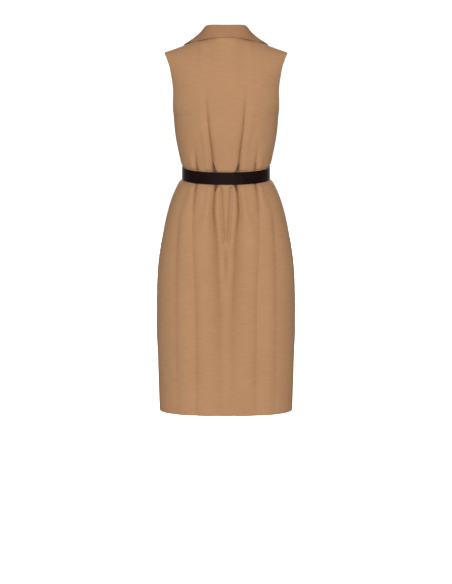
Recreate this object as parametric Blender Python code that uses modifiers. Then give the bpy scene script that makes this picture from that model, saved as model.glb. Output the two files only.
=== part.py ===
"""Sleeveless shift dress with a tailored collar, a wrap front and its own leather belt.

The dress is built filled out, as it is worn. Metres, +Z up, the front faces -Y and the wearer's
left is at +X. The origin lies between the two neck points, where the shoulders carry the dress.
Every cloth piece is an open surface worked out from the section tables below and given its wall.
"""

import math

import bmesh
import bpy
import numpy as np
from mathutils import Matrix

# ---------------------------------------------------------------- driving dimensions

CLOTH = 0.0015  # wall of the single cloth
DOUBLE_CLOTH = 0.0017  # wall of collar and lapels, two layers pressed together
SEAM_GAP = 0.0009  # between the outer faces at a side seam
SHOULDER_GAP = 0.0014  # between the outer faces at the shoulder, where the inner faces lean in
LAYER_GAP = 0.0014  # between the two fronts where they overlap

HEM_Z = -1.062
UNDERARM_Z = -0.215
NECK_X, SHOULDER_Y, NECK_Z = 0.077, 0.005, -0.003  # where shoulder seam and neck seam meet
TIP_X, TIP_Z = 0.1731, -0.0397  # outer end of the shoulder seam
SHOULDER_SAG = 0.0014  # the shoulder seam dips this far between its ends
NAPE_Y, NAPE_Z = 0.062, 0.012  # neck seam at the centre back

SQUARENESS = 2.3  # exponent of the oval sections
CAP_FULLNESS = 2.6  # how long the shoulder stays full before it turns over
SHOULDER_ROUND = 1 / 2.4  # exponent of the turn over the shoulder
NAPE_ROUND, NAPE_BLEND = 2.2, 0.04  # exponent of the back neck's curve, and its run-out
ARMHOLE_HALF = 0.046  # half the armhole's breadth from front to back
ARMHOLE_ROUND = 0.055  # height of its round lower end

BELT_Z, BELT_TALL, BELT_THICK = -0.379, 0.035, 0.0026
BELT_CLEAR, BELT_FRONT_CLEAR = 0.0009, 0.0012
LAYER_STEP = BELT_THICK + 0.0006  # the strap's end rises this far to pass over its start
# Distances along the belt from the front centre towards the wearer's left, and radial places
# counted from the strap's inner face.
STRAP_START, STRAP_TIP = 0.0215, 0.112
STRAP_POINT, POINT_BLUNT = 0.020, 0.30  # length of the pointed end, and its end's share of height
HEEL_RUN, FRONT_BAR_RUN = 0.017, -0.017  # the buckle's two upright bars
LEVEL_END, CLIMB_LONG = -0.030, 0.027  # last level place before the front bar, and the climb
HEEL_RADIAL, BAR_RADIUS = 0.0014, 0.0014
FRONT_BAR_RADIAL = BELT_THICK + 0.0004 + BAR_RADIUS
BUCKLE_HALF_TALL, BUCKLE_CORNER = 0.0210, 0.006
PRONG_ROOT_RUN, PRONG_TIP_RUN, PRONG_RADIUS, PRONG_CLEAR = 0.0095, -0.0195, 0.0010, 0.0004
KEEPER_RUN, KEEPER_LONG, KEEPER_WALL, KEEPER_CLEAR = 0.042, 0.010, 0.0013, 0.0010
WAIST_LEAN, LEAN_REACH = 0.0085, 0.10  # the waist sits lower at the back than at the front

OVERLAP_SHARE = 0.263  # how far each front passes the centre, as a share of the half-width
UNDERLAP_X, UNDERLAP_BLEND = 0.085, 0.03  # where the left front comes up from under the right
UNDERLAP_RISE = 0.09  # and how far above the underarm it lies free
BREAK_Z = -0.335  # where the lapels start to turn
GORGE_Z = -0.045  # where the collar meets the lapel at the roll line
LEFT_LAPEL_START_Z = -0.276  # where the left lapel comes out from under the right one
LAPEL_TURN = 0.02  # height over which a lapel rolls up to its full lift
LAPEL_LEAST = 0.003  # the lapel's breadth at its lower end
UNDER_LAPEL_CLEAR = 0.0028  # the left lapel stays this far out from the right front's edge

CAMEL = (0.50, 0.29, 0.155, 1.0)
CAMEL_COLLAR = (0.47, 0.265, 0.14, 1.0)
DARK_LEATHER = (0.018, 0.011, 0.010, 1.0)
DARK_METAL = (0.20, 0.18, 0.16, 1.0)


def table(columns, *rows):
    """A short table as a dictionary of named columns."""
    return dict(zip(columns.split(), np.array(rows, float).T))


# Half-widths and half-depths of the dress at each height. Above the underarm a half-width
# runs to the armhole edge.
SECTIONS = table(
    "z back_width front_width back_depth front_depth",
    (HEM_Z, 0.1900, 0.1900, 0.1130, 0.1110),
    (-0.9680, 0.1930, 0.1930, 0.1165, 0.1130),
    (-0.9050, 0.1947, 0.1947, 0.1190, 0.1145),
    (-0.8300, 0.1976, 0.1976, 0.1220, 0.1160),
    (-0.7600, 0.1976, 0.1976, 0.1245, 0.1170),
    (-0.6970, 0.1962, 0.1962, 0.1265, 0.1175),
    (-0.6450, 0.1932, 0.1932, 0.1275, 0.1170),
    (-0.5930, 0.1863, 0.1863, 0.1270, 0.1155),
    (-0.5515, 0.1789, 0.1789, 0.1240, 0.1130),
    (-0.5090, 0.1700, 0.1700, 0.1185, 0.1090),
    (-0.4785, 0.1626, 0.1626, 0.1130, 0.1055),
    (-0.4520, 0.1542, 0.1542, 0.1070, 0.1020),
    (-0.4260, 0.1430, 0.1430, 0.1000, 0.0985),
    (-0.4080, 0.1334, 0.1334, 0.0945, 0.0960),
    (-0.3985, 0.1216, 0.1216, 0.0900, 0.0930),
    (-0.3790, 0.1214, 0.1214, 0.0898, 0.0928),
    (-0.3575, 0.1216, 0.1216, 0.0900, 0.0930),
    (-0.3500, 0.1272, 0.1272, 0.0928, 0.0965),
    (-0.3350, 0.1316, 0.1316, 0.0960, 0.1000),
    (-0.3120, 0.1366, 0.1366, 0.1000, 0.1065),
    (-0.2890, 0.1411, 0.1411, 0.1035, 0.1135),
    (-0.2665, 0.1444, 0.1444, 0.1060, 0.1190),
    (-0.2440, 0.1464, 0.1464, 0.1075, 0.1220),
    (UNDERARM_Z, 0.1482, 0.1482, 0.1085, 0.1215),
    (-0.1980, 0.1498, 0.1490, 0.1092, 0.1205),
    (-0.1750, 0.1498, 0.1478, 0.1100, 0.1185),
    (-0.1525, 0.1490, 0.1452, 0.1102, 0.1160),
    (-0.1300, 0.1505, 0.1447, 0.1098, 0.1120),
    (-0.1070, 0.1542, 0.1465, 0.1082, 0.1075),
    (-0.0840, 0.1585, 0.1510, 0.1050, 0.1035),
    (-0.0610, 0.1658, 0.1596, 0.1005, 0.0995),
    (-0.0500, 0.1697, 0.1650, 0.0980, 0.0975),
    (TIP_Z, TIP_X, TIP_X, 0.0950, 0.0955),
    (NAPE_Z, TIP_X, TIP_X, 0.0850, 0.0880),
)

# Where the folds run, as shares of the half-width from the centre out, and how deep each is.
# The folds start under the belt, where the loose width is drawn in.
BACK_FOLDS = table(
    "z inner outer side inner_depth outer_depth side_depth",
    (HEM_Z, 0.126, 0.470, 0.770, 0.0026, 0.0026, 0.0024),
    (-0.900, 0.126, 0.466, 0.770, 0.0034, 0.0034, 0.0032),
    (-0.745, 0.128, 0.468, 0.770, 0.0044, 0.0034, 0.0038),
    (-0.680, 0.145, 0.490, 0.775, 0.0052, 0.0030, 0.0038),
    (-0.631, 0.190, 0.520, 0.785, 0.0062, 0.0028, 0.0036),
    (-0.532, 0.217, 0.573, 0.810, 0.0076, 0.0030, 0.0024),
    (-0.475, 0.228, 0.600, 0.830, 0.0094, 0.0044, 0.0012),
    (-0.432, 0.236, 0.630, 0.840, 0.0104, 0.0066, 0.0004),
    (-0.400, 0.250, 0.690, 0.845, 0.0106, 0.0082, 0.0),
    (-0.358, 0.250, 0.690, 0.845, 0.0106, 0.0082, 0.0),
    (-0.330, 0.280, 0.672, 0.845, 0.0084, 0.0040, 0.0),
    (-0.289, 0.316, 0.665, 0.845, 0.0060, 0.0006, 0.0),
    (-0.230, 0.345, 0.665, 0.845, 0.0036, 0.0, 0.0),
    (-0.167, 0.362, 0.665, 0.845, 0.0012, 0.0, 0.0),
    (-0.130, 0.380, 0.665, 0.845, 0.0, 0.0, 0.0),
    (TIP_Z, 0.440, 0.700, 0.860, 0.0, 0.0, 0.0),
)
FRONT_FOLDS = table(
    "z inner outer inner_depth outer_depth",
    (HEM_Z, 0.410, 0.745, 0.0024, 0.0026),
    (-0.900, 0.405, 0.745, 0.0030, 0.0032),
    (-0.745, 0.400, 0.740, 0.0038, 0.0036),
    (-0.631, 0.400, 0.735, 0.0046, 0.0034),
    (-0.532, 0.400, 0.730, 0.0060, 0.0036),
    (-0.475, 0.405, 0.725, 0.0076, 0.0050),
    (-0.432, 0.410, 0.715, 0.0088, 0.0070),
    (-0.400, 0.420, 0.710, 0.0092, 0.0080),
    (-0.358, 0.420, 0.710, 0.0092, 0.0080),
    (-0.330, 0.430, 0.706, 0.0066, 0.0042),
    (-0.289, 0.445, 0.700, 0.0032, 0.0010),
    (-0.240, 0.460, 0.700, 0.0008, 0.0),
    (-0.200, 0.470, 0.700, 0.0, 0.0),
)
FOLD_STEEP, FOLD_SLOPE = 0.0044, 0.0135  # half-widths of a fold's outer and inner flank
FOLD_SPREAD = 0.9  # how much wider the folds are at the hem than at the belt
SPREAD_START, SPREAD_REACH = 0.03, 0.35  # distances from the belt over which they widen
RIDGE_SHARE = 0.30  # the cloth beside a fold stands out by this share of its depth
RIDGE_PLACE, RIDGE_HALF = 2.4 * FOLD_STEEP, 1.5 * FOLD_STEEP
BELT_EDGE_CLEAR, BELT_EDGE_FADE = 0.002, 0.02  # the ridges fade in beside the belt
FOLDS_TOP_Z, FOLDS_FADE = NECK_Z - 0.10, 0.05  # no fold runs higher than this

# The line where each front's edge turns into the lapel, from the break up to the neck point,
# on the wearer's own side: negative x lies past the centre.
ROLL_LINE = table(
    "z x",
    (BREAK_Z, -0.0349),
    (-0.190, 0.0141),
    (GORGE_Z, 0.0630),
    (-0.020, 0.0705),
    (NECK_Z, NECK_X),
)
LAPEL_EDGE = table(
    "z x",
    (BREAK_Z, -0.0300),
    (-0.300, 0.0000),
    (-0.250, 0.0410),
    (-0.200, 0.0780),
    (-0.150, 0.1080),
    (-0.110, 0.1260),
    (-0.086, 0.1320),
)
LAPEL_TIP_Z = -0.086
# The lapel's cross-section: share of its breadth from the roll line out, and its height there.
LAPEL_SECTION = table(
    "share lift",
    (0.00, 0.0016),
    (0.10, 0.0030),
    (0.30, 0.0034),
    (0.50, 0.0029),
    (0.75, 0.0022),
    (1.00, 0.0018),
)
LAPEL_OVERHANG, LAPEL_DROP = 0.0010, 0.0014  # past the front's edge, and below the gorge

# The collar from the centre back round to the gorge: where its stand is sewn, its roll line
# and its outer edge. seam counts 0 to 1 along the back neck and 1 to 2 down the front neck.
COLLAR = table(
    "station seam roll_x roll_y roll_z edge_x edge_y edge_z bulge",
    (0, 0.000, 0.0000, 0.0590, 0.0410, 0.0000, 0.0675, 0.0070, 0.0006),
    (1, 0.390, 0.0305, 0.0545, 0.0410, 0.0325, 0.0625, 0.0058, 0.0006),
    (2, 0.675, 0.0512, 0.0420, 0.0392, 0.0600, 0.0470, 0.0000, 0.0008),
    (3, 0.883, 0.0615, 0.0220, 0.0325, 0.0855, 0.0210, -0.0072, 0.0010),
    (4, 1.000, 0.0645, 0.0020, 0.0228, 0.1045, 0.0000, -0.0118, 0.0012),
    (5, 1.150, 0.0660, -0.0220, 0.0075, 0.1175, -0.0200, -0.0182, 0.0014),
    (6, 1.500, 0.0655, -0.0460, -0.0158, 0.1235, -0.0420, -0.0333, 0.0020),
    (7, 2.000, 0.0625, -0.0665, -0.0425, 0.1210, -0.0640, -0.0520, 0.0020),
)
NOTCH_X, NOTCH_Z = 0.1000, -0.0665  # inner corner of the notch
COLLAR_TIP_X, COLLAR_TIP_Z = 0.1215, -0.0530
COLLAR_LIFT, COLLAR_END_LIFT = 0.0034, 0.0022  # over the front, at the roll line and the edge
COLLAR_FOLD = 0.0022  # radius of the fold along the roll line
FOOT_IN, FOOT_UP = 0.0009, 0.0012  # the stand's foot stands this far inside and above the seam
LAID_STATIONS = 1.6  # over so many stations the collar's ends come to lie on the fronts
NOTCH_SHARE = 0.62  # share of the collar's breadth that is sewn to the lapel
GORGE_GAP = 0.0025

# ---------------------------------------------------------------- curves and steps


def smooth(at, knots, values):
    """A smooth line through a table's column that never overshoots it (monotone cubic)."""
    step = np.diff(knots)
    slope = np.diff(values) / step
    before, after = slope[:-1], slope[1:]
    same_way = before * after > 0
    safe = np.where(same_way, before + after, 1.0)
    tangent = np.concatenate(
        ([slope[0]], np.where(same_way, 2 * before * after / safe, 0.0), [slope[-1]])
    )
    at = np.clip(np.asarray(at, float), knots[0], knots[-1])
    i = np.clip(np.searchsorted(knots, at, side="right") - 1, 0, len(step) - 1)
    t = (at - knots[i]) / step[i]
    return (
        values[i] * (1 + 2 * t) * (1 - t) ** 2
        + values[i + 1] * t * t * (3 - 2 * t)
        + step[i] * t * (1 - t) * (tangent[i] * (1 - t) - tangent[i + 1] * t)
    )


def ease(t):
    """0 to 1 with a soft start and a soft end."""
    t = np.clip(t, 0.0, 1.0)
    return t * t * (3 - 2 * t)


def crowded(steps, pull=0.45):
    """0 to 1 in so many steps, closer together at both ends."""
    t = np.linspace(0, 1, steps + 1)
    return t - pull * np.sin(2 * math.pi * t) / (2 * math.pi)


# ---------------------------------------------------------------- the worn form


def column(name, z):
    """One column of the section table at height z."""
    return smooth(z, SECTIONS["z"], SECTIONS[name])


def top_z(x, side):
    """Height of the panel's upper edge: the shoulder seam, and the neck seam at the back."""
    out = np.abs(x)
    slope = (NECK_Z - TIP_Z) / (TIP_X - NECK_X)
    inside = NAPE_Z - NECK_Z if side == "back" else 0.0
    neck = NECK_Z + inside * (1 - np.clip(out / NECK_X, 0, 1) ** 2)
    along = np.clip((out - NECK_X) / (TIP_X - NECK_X), 0, 1)
    shoulder = NECK_Z - slope * (out - NECK_X) - SHOULDER_SAG * np.sin(math.pi * along)
    return np.where(out > NECK_X, shoulder, neck)


def top_y(x, side):
    """Depth of the panel's upper edge."""
    if side == "front":
        return np.full_like(x, SHOULDER_Y - SHOULDER_GAP / 2)
    neck = 1 - np.clip(np.abs(x) / NECK_X, 0, 1) ** NAPE_ROUND
    return SHOULDER_Y + SHOULDER_GAP / 2 + (NAPE_Y - SHOULDER_Y) * neck


def fullness(z, side):
    """How much wider the figure is than the panel from the underarm up, which leaves the
    armhole open with a round lower end."""
    rise = np.clip((z - UNDERARM_Z) / ARMHOLE_ROUND, 0, 1)
    opening = ARMHOLE_HALF * np.sqrt(rise * (2 - rise)) / column(side + "_depth", z)
    return (1 - opening**SQUARENESS) ** (-1 / SQUARENESS)


def oval(share):
    """An oval section's depth, 1 at the centre and 0 at the side."""
    return np.clip(1 - np.clip(np.abs(share), 0, 1) ** SQUARENESS, 0, 1) ** (1 / SQUARENESS)


def surface_y(x, z, side):
    """Depth of the outer cloth face at (x, z), before folds: an oval section that turns over
    the shoulder to meet the other panel, or leans in to the neck seam."""
    share = x / (column(side + "_width", z) * fullness(z, side))
    full = SEAM_GAP / 2 + (column(side + "_depth", z) - SEAM_GAP / 2) * oval(share)
    rise = np.clip((z - UNDERARM_Z) / (top_z(x, side) - UNDERARM_Z), 0, 1)
    in_neck = ease((NECK_X - np.abs(x)) / NAPE_BLEND) if side == "back" else 0.0
    turn = SHOULDER_ROUND + (1 - SHOULDER_ROUND) * in_neck
    cap = np.clip(1 - rise**CAP_FULLNESS, 0, 1) ** turn
    top = top_y(x, side)
    if side == "back":
        return top + (full - top) * cap
    return top - (full + top) * cap


def fold_depth(x, z, side):
    """How far the folds press the cloth in, positive inwards. A fold's outer flank is steep
    and its inner flank runs out softly; the cloth beside it stands out a little."""
    folds = BACK_FOLDS if side == "back" else FRONT_FOLDS
    names = ("inner", "outer", "side") if side == "back" else ("inner", "outer")
    width = column(side + "_width", z)
    radius = np.sqrt(width * column(side + "_depth", z))
    angle = np.arccos(np.clip(np.abs(x) / width, 0, 1) ** (SQUARENESS / 2))
    from_belt = np.abs(z - BELT_Z)
    spread = 1 + FOLD_SPREAD * ease((from_belt - SPREAD_START) / SPREAD_REACH)
    off_belt = ease((from_belt - BELT_TALL / 2 - BELT_EDGE_CLEAR) / BELT_EDGE_FADE)
    total = np.zeros_like(x)
    for name in names:
        share = smooth(z, folds["z"], folds[name])
        depth = smooth(z, folds["z"], folds[name + "_depth"])
        fold_angle = np.arccos(share ** (SQUARENESS / 2))
        inwards = (angle - fold_angle) * radius
        flank = np.where(inwards < 0, FOLD_STEEP, FOLD_SLOPE) * spread
        ridge = np.exp(-(((inwards / spread + RIDGE_PLACE) / RIDGE_HALF) ** 2))
        total += depth * (np.exp(-((inwards / flank) ** 2)) - RIDGE_SHARE * off_belt * ridge)
    return total


def lean(points):
    """The waist tips down towards the back; hem and shoulders stay level."""
    bell = np.exp(-(((points[..., 2] - BELT_Z) / LEAN_REACH) ** 2))
    points[..., 2] -= WAIST_LEAN * bell * points[..., 1] / column("front_depth", BELT_Z)
    return points


def cloth_points(x, z, side, inset=0.0):
    """Points on the outer face of the cloth, folds and lean included, inset by a distance."""
    y = surface_y(x, z, side)
    across = x / column(side + "_width", z) ** 2
    out = y / column(side + "_depth", z) ** 2
    size = np.sqrt(across**2 + out**2) + 1e-9
    below_shoulder = ease((FOLDS_TOP_Z - z) / FOLDS_FADE)
    press = fold_depth(x, z, side) * below_shoulder + inset
    points = np.stack((x - across / size * press, y - out / size * press, z), axis=-1)
    return lean(points)


# ---------------------------------------------------------------- the panels' grids

LOWER_BANDS = (  # from one height to the next in so many rows
    (HEM_Z, -0.60, 7),
    (-0.60, -0.45, 4),
    (-0.45, -0.408, 2),
    (-0.408, -0.398, 1),
    (-0.398, -0.358, 3),
    (-0.358, -0.350, 1),
    (-0.350, BREAK_Z, 1),
    (BREAK_Z, UNDERARM_Z, 4),
)
UPPER_ROWS = 12
BACK_COLUMNS = (3, 5, 6, 4)  # side seam, side fold, outer fold, inner fold, centre
FRONT_COLUMNS = (5, 5, 8)  # side seam, outer fold, inner fold, front edge


def lower_rows():
    """Heights of the rows from the hem to the underarm."""
    rows = [HEM_Z]
    for low, high, steps in LOWER_BANDS:
        rows += list(np.linspace(low, high, steps + 1)[1:])
    return rows


def between(knots, steps):
    """Column positions that pass through every knot, crowded towards each."""
    parts = [knots[:1]]
    for start, end, count in zip(knots[:-1], knots[1:], steps):
        parts.append(start + (end - start) * crowded(count)[1:])
    return np.concatenate(parts)


def back_shares(z):
    """Column positions across the back as shares of the half-width, from -1 to 1."""
    folds = [smooth(z, BACK_FOLDS["z"], BACK_FOLDS[name]) for name in ("side", "outer", "inner")]
    half = between(np.array([1.0, *folds, 0.0]), BACK_COLUMNS)
    return np.concatenate((half, -half[-2::-1]))


def back_grid():
    """The back: level rows up to the underarm, then rows that run from armhole to armhole and
    end in the shoulder seams and the neck seam."""
    grid = []
    for z in lower_rows():
        x = back_shares(z) * column("back_width", z)
        grid.append(cloth_points(x, np.full_like(x, z), "back"))
    for v in np.arange(1, UPPER_ROWS + 1) / UPPER_ROWS:
        at_armhole, at_centre = ease(v), math.sin(math.pi * v / 2)
        armhole_z = UNDERARM_Z + (TIP_Z - UNDERARM_Z) * at_armhole
        share = back_shares(armhole_z)
        x = share * column("back_width", armhole_z)
        rise = at_centre + (at_armhole - at_centre) * np.abs(share) ** 3
        z = UNDERARM_Z + (top_z(x, "back") - UNDERARM_Z) * rise
        grid.append(cloth_points(x, z, "back"))
    return grid


def front_edge_x(z):
    """The front's edge on the wearer's own side: straight up to the break, then the roll line."""
    straight = -OVERLAP_SHARE * column("front_width", z)
    return np.where(z > BREAK_Z, smooth(z, ROLL_LINE["z"], ROLL_LINE["x"]), straight)


def tucked(x, z):
    """How far the left front lies inwards, where the right front covers it."""
    below_crossing = 1 - ease((z - UNDERARM_Z) / UNDERLAP_RISE)
    return (CLOTH + LAYER_GAP) * ease((UNDERLAP_X - x) / UNDERLAP_BLEND) * below_crossing


def front_points(x, z, under):
    """Points of a front on the wearer's own side, x towards that side."""
    return cloth_points(x, z, "front", tucked(x, z) if under else 0.0)


def front_grid(under):
    """One front, from its side seam to its edge; under tells the left from the right."""
    names = ("outer", "inner")
    grid = []
    for z in lower_rows():
        width = column("front_width", z)
        folds = [smooth(z, FRONT_FOLDS["z"], FRONT_FOLDS[name]) * width for name in names]
        x = between(np.array([width, *folds, float(front_edge_x(z))]), FRONT_COLUMNS)
        grid.append(front_points(x, np.full_like(x, z), under))
    shares = [float(smooth(UNDERARM_Z, FRONT_FOLDS["z"], FRONT_FOLDS[name])) for name in names]
    for v in np.arange(1, UPPER_ROWS + 1) / UPPER_ROWS:
        at_armhole, at_edge = ease(v), math.sin(math.pi * v / 2)
        armhole_z = UNDERARM_Z + (TIP_Z - UNDERARM_Z) * at_armhole
        armhole_x = float(column("front_width", armhole_z))
        edge_x = float(front_edge_x(UNDERARM_Z + (NECK_Z - UNDERARM_Z) * at_edge))
        folds = []
        for share, seam_share in zip(shares, (0.66, 0.33)):
            on_seam = edge_x + (armhole_x - edge_x) * seam_share
            folds.append(share * armhole_x + (on_seam - share * armhole_x) * float(ease(v)))
        x = between(np.array([armhole_x, *folds, edge_x]), FRONT_COLUMNS)
        to_edge = (armhole_x - x) / (armhole_x - edge_x)
        rise = at_armhole + (at_edge - at_armhole) * to_edge
        z = UNDERARM_Z + (top_z(x, "front") - UNDERARM_Z) * rise
        grid.append(front_points(x, z, under))
    return grid


# ---------------------------------------------------------------- lapels and collar


def surface_frame(x, z, under):
    """Points on a front's outer face and its outward directions there."""
    small = 0.0004
    here = front_points(x, z, under)
    along_x = front_points(x + small, z, under) - front_points(x - small, z, under)
    along_z = front_points(x, z + small, under) - front_points(x, z - small, under)
    out = np.cross(along_x, along_z)
    return here, out / np.linalg.norm(out, axis=-1, keepdims=True)


def lapel_grid(under, rows=16):
    """A lapel: rows from its lower end up to the gorge, each turning over the front's edge and
    lying out flat on the front. The left one comes out from under the right one."""
    start = LEFT_LAPEL_START_Z if under else BREAK_Z
    resting = LAPEL_SECTION["lift"][-1]
    grid = []
    for w in np.linspace(0, 1, rows + 1):
        inner_z = start + (GORGE_Z - LAPEL_DROP - start) * w
        outer_z = start + (LAPEL_TIP_Z - start) * w
        edge_x = float(front_edge_x(np.array(inner_z)))
        hidden_x = -edge_x + UNDER_LAPEL_CLEAR
        inner_x = max(edge_x, hidden_x) if under else edge_x
        free = edge_x - hidden_x if under else outer_z - BREAK_Z
        rolled = float(ease(free / LAPEL_TURN))
        free_edge_x = float(smooth(outer_z, LAPEL_EDGE["z"], LAPEL_EDGE["x"]))
        outer_x = max(free_edge_x, inner_x + LAPEL_LEAST)
        lift = resting + (LAPEL_SECTION["lift"] - resting) * rolled
        inner_x -= LAPEL_OVERHANG * rolled
        across = LAPEL_SECTION["share"]
        x = inner_x + (outer_x - inner_x) * across
        z = inner_z + (outer_z - inner_z) * across
        here, out = surface_frame(x, z, under)
        grid.append(here + out * lift[:, None])
    return grid


def neck_seam(seam):
    """A point of the neck seam: 0 to 1 along the back neck, 1 to 2 down the front neck."""
    if seam <= 1:
        x = np.array(NECK_X * seam)
        return np.array([x, top_y(x, "back"), top_z(x, "back")])
    z = np.array(NECK_Z + (GORGE_Z + GORGE_GAP - NECK_Z) * (seam - 1))
    return front_points(front_edge_x(z), z, False)


def collar_end_line(share):
    """The collar's front end laid on the front: along the gorge, then out to the collar's tip."""
    start_x, start_z = float(front_edge_x(np.array(GORGE_Z))), GORGE_Z + GORGE_GAP
    corner_z = NOTCH_Z + GORGE_GAP
    x = np.interp(share, (0, NOTCH_SHARE, 1), (start_x, NOTCH_X, COLLAR_TIP_X))
    z = np.interp(share, (0, NOTCH_SHARE, 1), (start_z, corner_z, COLLAR_TIP_Z))
    here, out = surface_frame(x, z, False)
    lift = COLLAR_LIFT + (COLLAR_END_LIFT - COLLAR_LIFT) * share
    return here + out * lift[:, None]


FALL_SHARES = np.array([0.0, 0.14, 0.30, 0.46, 0.62, 0.81, 1.0])
COLLAR_COLUMNS = 34


def collar_grid():
    """The collar: at each station its stand rises from the neck seam, turns over at the roll
    line and falls to the outer edge; at the ends it lies on the fronts along the gorge."""
    last = COLLAR["station"][-1]
    mirrored = {}
    for name, values in COLLAR.items():
        sign = -1 if name in ("station", "roll_x", "edge_x") else 1
        mirrored[name] = np.concatenate((sign * values[:0:-1], values))
    stations = np.linspace(-last, last, COLLAR_COLUMNS + 1)

    def at(name, station):
        return float(smooth(station, mirrored["station"], mirrored[name]))

    grid = []
    for station in stations:
        side = -1.0 if station < 0 else 1.0
        seam = neck_seam(at("seam", station)) * np.array([side, 1, 1])
        roll = np.array([at("roll_" + axis, station) for axis in "xyz"])
        edge = np.array([at("edge_" + axis, station) for axis in "xyz"])
        step = 0.05
        ahead, behind = min(station + step, last), max(station - step, -last)
        run = np.array([at("roll_" + a, ahead) - at("roll_" + a, behind) for a in "xy"])
        out = np.array([run[1], -run[0], 0.0]) / np.hypot(*run) * -1.0
        up = np.array([0.0, 0.0, 1.0])
        foot = seam - out * FOOT_IN + up * FOOT_UP
        stand_top = roll - out * COLLAR_FOLD - up * COLLAR_FOLD * 1.2
        start = roll + out * COLLAR_FOLD * 0.9 - up * COLLAR_FOLD * 0.8
        chord = edge - start
        bulge_way = np.cross(np.cross(chord, up), chord)
        bulge_way = bulge_way / np.linalg.norm(bulge_way)
        share = FALL_SHARES[:, None]
        fall = start + chord * share + bulge_way * at("bulge", station) * 4 * share * (1 - share)
        flat = float(ease((abs(station) - last) / LAID_STATIONS + 1))
        laid = collar_end_line(FALL_SHARES) * np.array([side, 1, 1])
        fall = fall + (laid - fall) * flat
        stand = [foot, (foot + stand_top) / 2, stand_top, roll - out * COLLAR_FOLD * 0.36]
        grid.append(np.array([*stand, *fall]))
    return grid


# ---------------------------------------------------------------- the belt


def belt_loop(samples=720):
    """The belt's inner face as a closed line round the waist, from the front centre towards
    the wearer's left, with the distance run at each point."""
    turn = np.linspace(0, 2 * math.pi, samples + 1)
    sine, cosine = np.sin(turn), np.cos(turn)
    front = cosine > 0
    width = column("back_width", BELT_Z) + BELT_CLEAR
    depth = np.where(
        front,
        column("front_depth", BELT_Z) + BELT_FRONT_CLEAR,
        column("back_depth", BELT_Z) + BELT_CLEAR,
    )
    x = width * np.sign(sine) * np.abs(sine) ** (2 / SQUARENESS)
    y = -depth * np.sign(cosine) * np.abs(cosine) ** (2 / SQUARENESS)
    run = np.concatenate(([0], np.cumsum(np.hypot(np.diff(x), np.diff(y)))))
    return x, y, run


def belt_frame(run):
    """Point of the belt line at a distance from the front centre, its outward direction and
    the direction along the belt. The distance may pass the full round."""
    x, y, length = belt_loop()
    total = length[-1]

    def at(distance):
        distance = distance % total
        return np.array([np.interp(distance, length, x), np.interp(distance, length, y), BELT_Z])

    along = at(run + 0.003) - at(run - 0.003)
    along /= np.linalg.norm(along)
    out = np.array([along[1], -along[0], 0.0])
    return at(run), out, along


def belt_length():
    """The round of the belt's inner face."""
    return belt_loop()[2][-1]


def strap_rows():
    """The strap: from beside the heel bar once round the waist, up through the buckle and over
    its own start to the pointed end."""
    total = belt_length()
    end = total + STRAP_TIP
    before, buckle = total + LEVEL_END, total + FRONT_BAR_RUN
    climbed, point_start = total + STRAP_START, end - STRAP_POINT
    runs = [np.linspace(STRAP_START, before, 58)]
    runs.append(np.linspace(buckle, climbed, 7))
    runs.append(np.linspace(climbed, point_start, 7)[1:])
    runs.append(end - STRAP_POINT * (1 - np.sin(np.linspace(0, math.pi / 2, 6)[1:])))
    rows = []
    for run in np.concatenate(runs):
        point, out, _ = belt_frame(run)
        rise = float(ease((run - buckle) / CLIMB_LONG))
        to_end = np.clip((end - run) / STRAP_POINT, 0, 1)
        half = BELT_TALL / 2
        half *= POINT_BLUNT + (1 - POINT_BLUNT) * math.sqrt(1 - (1 - to_end) ** 2)
        middle = point + out * (BELT_THICK / 2 + LAYER_STEP * rise)
        heights = np.array([-half, 0.0, half])
        rows.append(lean(middle + heights[:, None] * np.array([0, 0, 1])))
    return rows


def on_belt(run, radial, height):
    """A point beside the belt line, leaning with the waist."""
    point, out, _ = belt_frame(run)
    return lean((point + out * radial + np.array([0, 0, height]))[None])[0]


# ---------------------------------------------------------------- building with Blender


def fresh_scene():
    """Empties the file and makes the dress's collection and the cutters' collection."""
    for thing in list(bpy.data.objects):
        bpy.data.objects.remove(thing)
    dress = bpy.data.collections.new("shift_dress")
    cutters = bpy.data.collections.new("cutters")
    bpy.context.scene.collection.children.link(dress)
    bpy.context.scene.collection.children.link(cutters)
    return dress, cutters


def finish(name, colour, roughness, metallic=0.0):
    """A plain material."""
    material = bpy.data.materials.new(name)
    material.use_nodes = True
    shader = material.node_tree.nodes["Principled BSDF"]
    shader.inputs["Base Color"].default_value = colour
    shader.inputs["Roughness"].default_value = roughness
    shader.inputs["Metallic"].default_value = metallic
    return material


def sheet(name, rows, material, wall, collection, flip=False, offset=-1.0):
    """A grid laid through rows of points, given its wall with Solidify."""
    bm = bmesh.new()
    bmesh.ops.create_grid(bm, x_segments=len(rows[0]) - 1, y_segments=len(rows) - 1, size=1)
    bm.verts.ensure_lookup_table()
    for vert, point in zip(bm.verts, np.concatenate(rows)):
        vert.co = point
    if flip:
        bmesh.ops.reverse_faces(bm, faces=bm.faces)
    mesh = bpy.data.meshes.new(name)
    bm.to_mesh(mesh)
    bm.free()
    mesh.shade_smooth()
    mesh.materials.append(material)
    piece = bpy.data.objects.new(name, mesh)
    collection.objects.link(piece)
    solid = piece.modifiers.new("wall", "SOLIDIFY")
    solid.thickness = wall
    solid.offset = offset
    solid.use_even_offset = True
    solid.use_quality_normals = True
    return piece


def mirrored(grid):
    """The same rows on the other side of the centre."""
    return [row * np.array([-1, 1, 1]) for row in grid]


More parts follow.
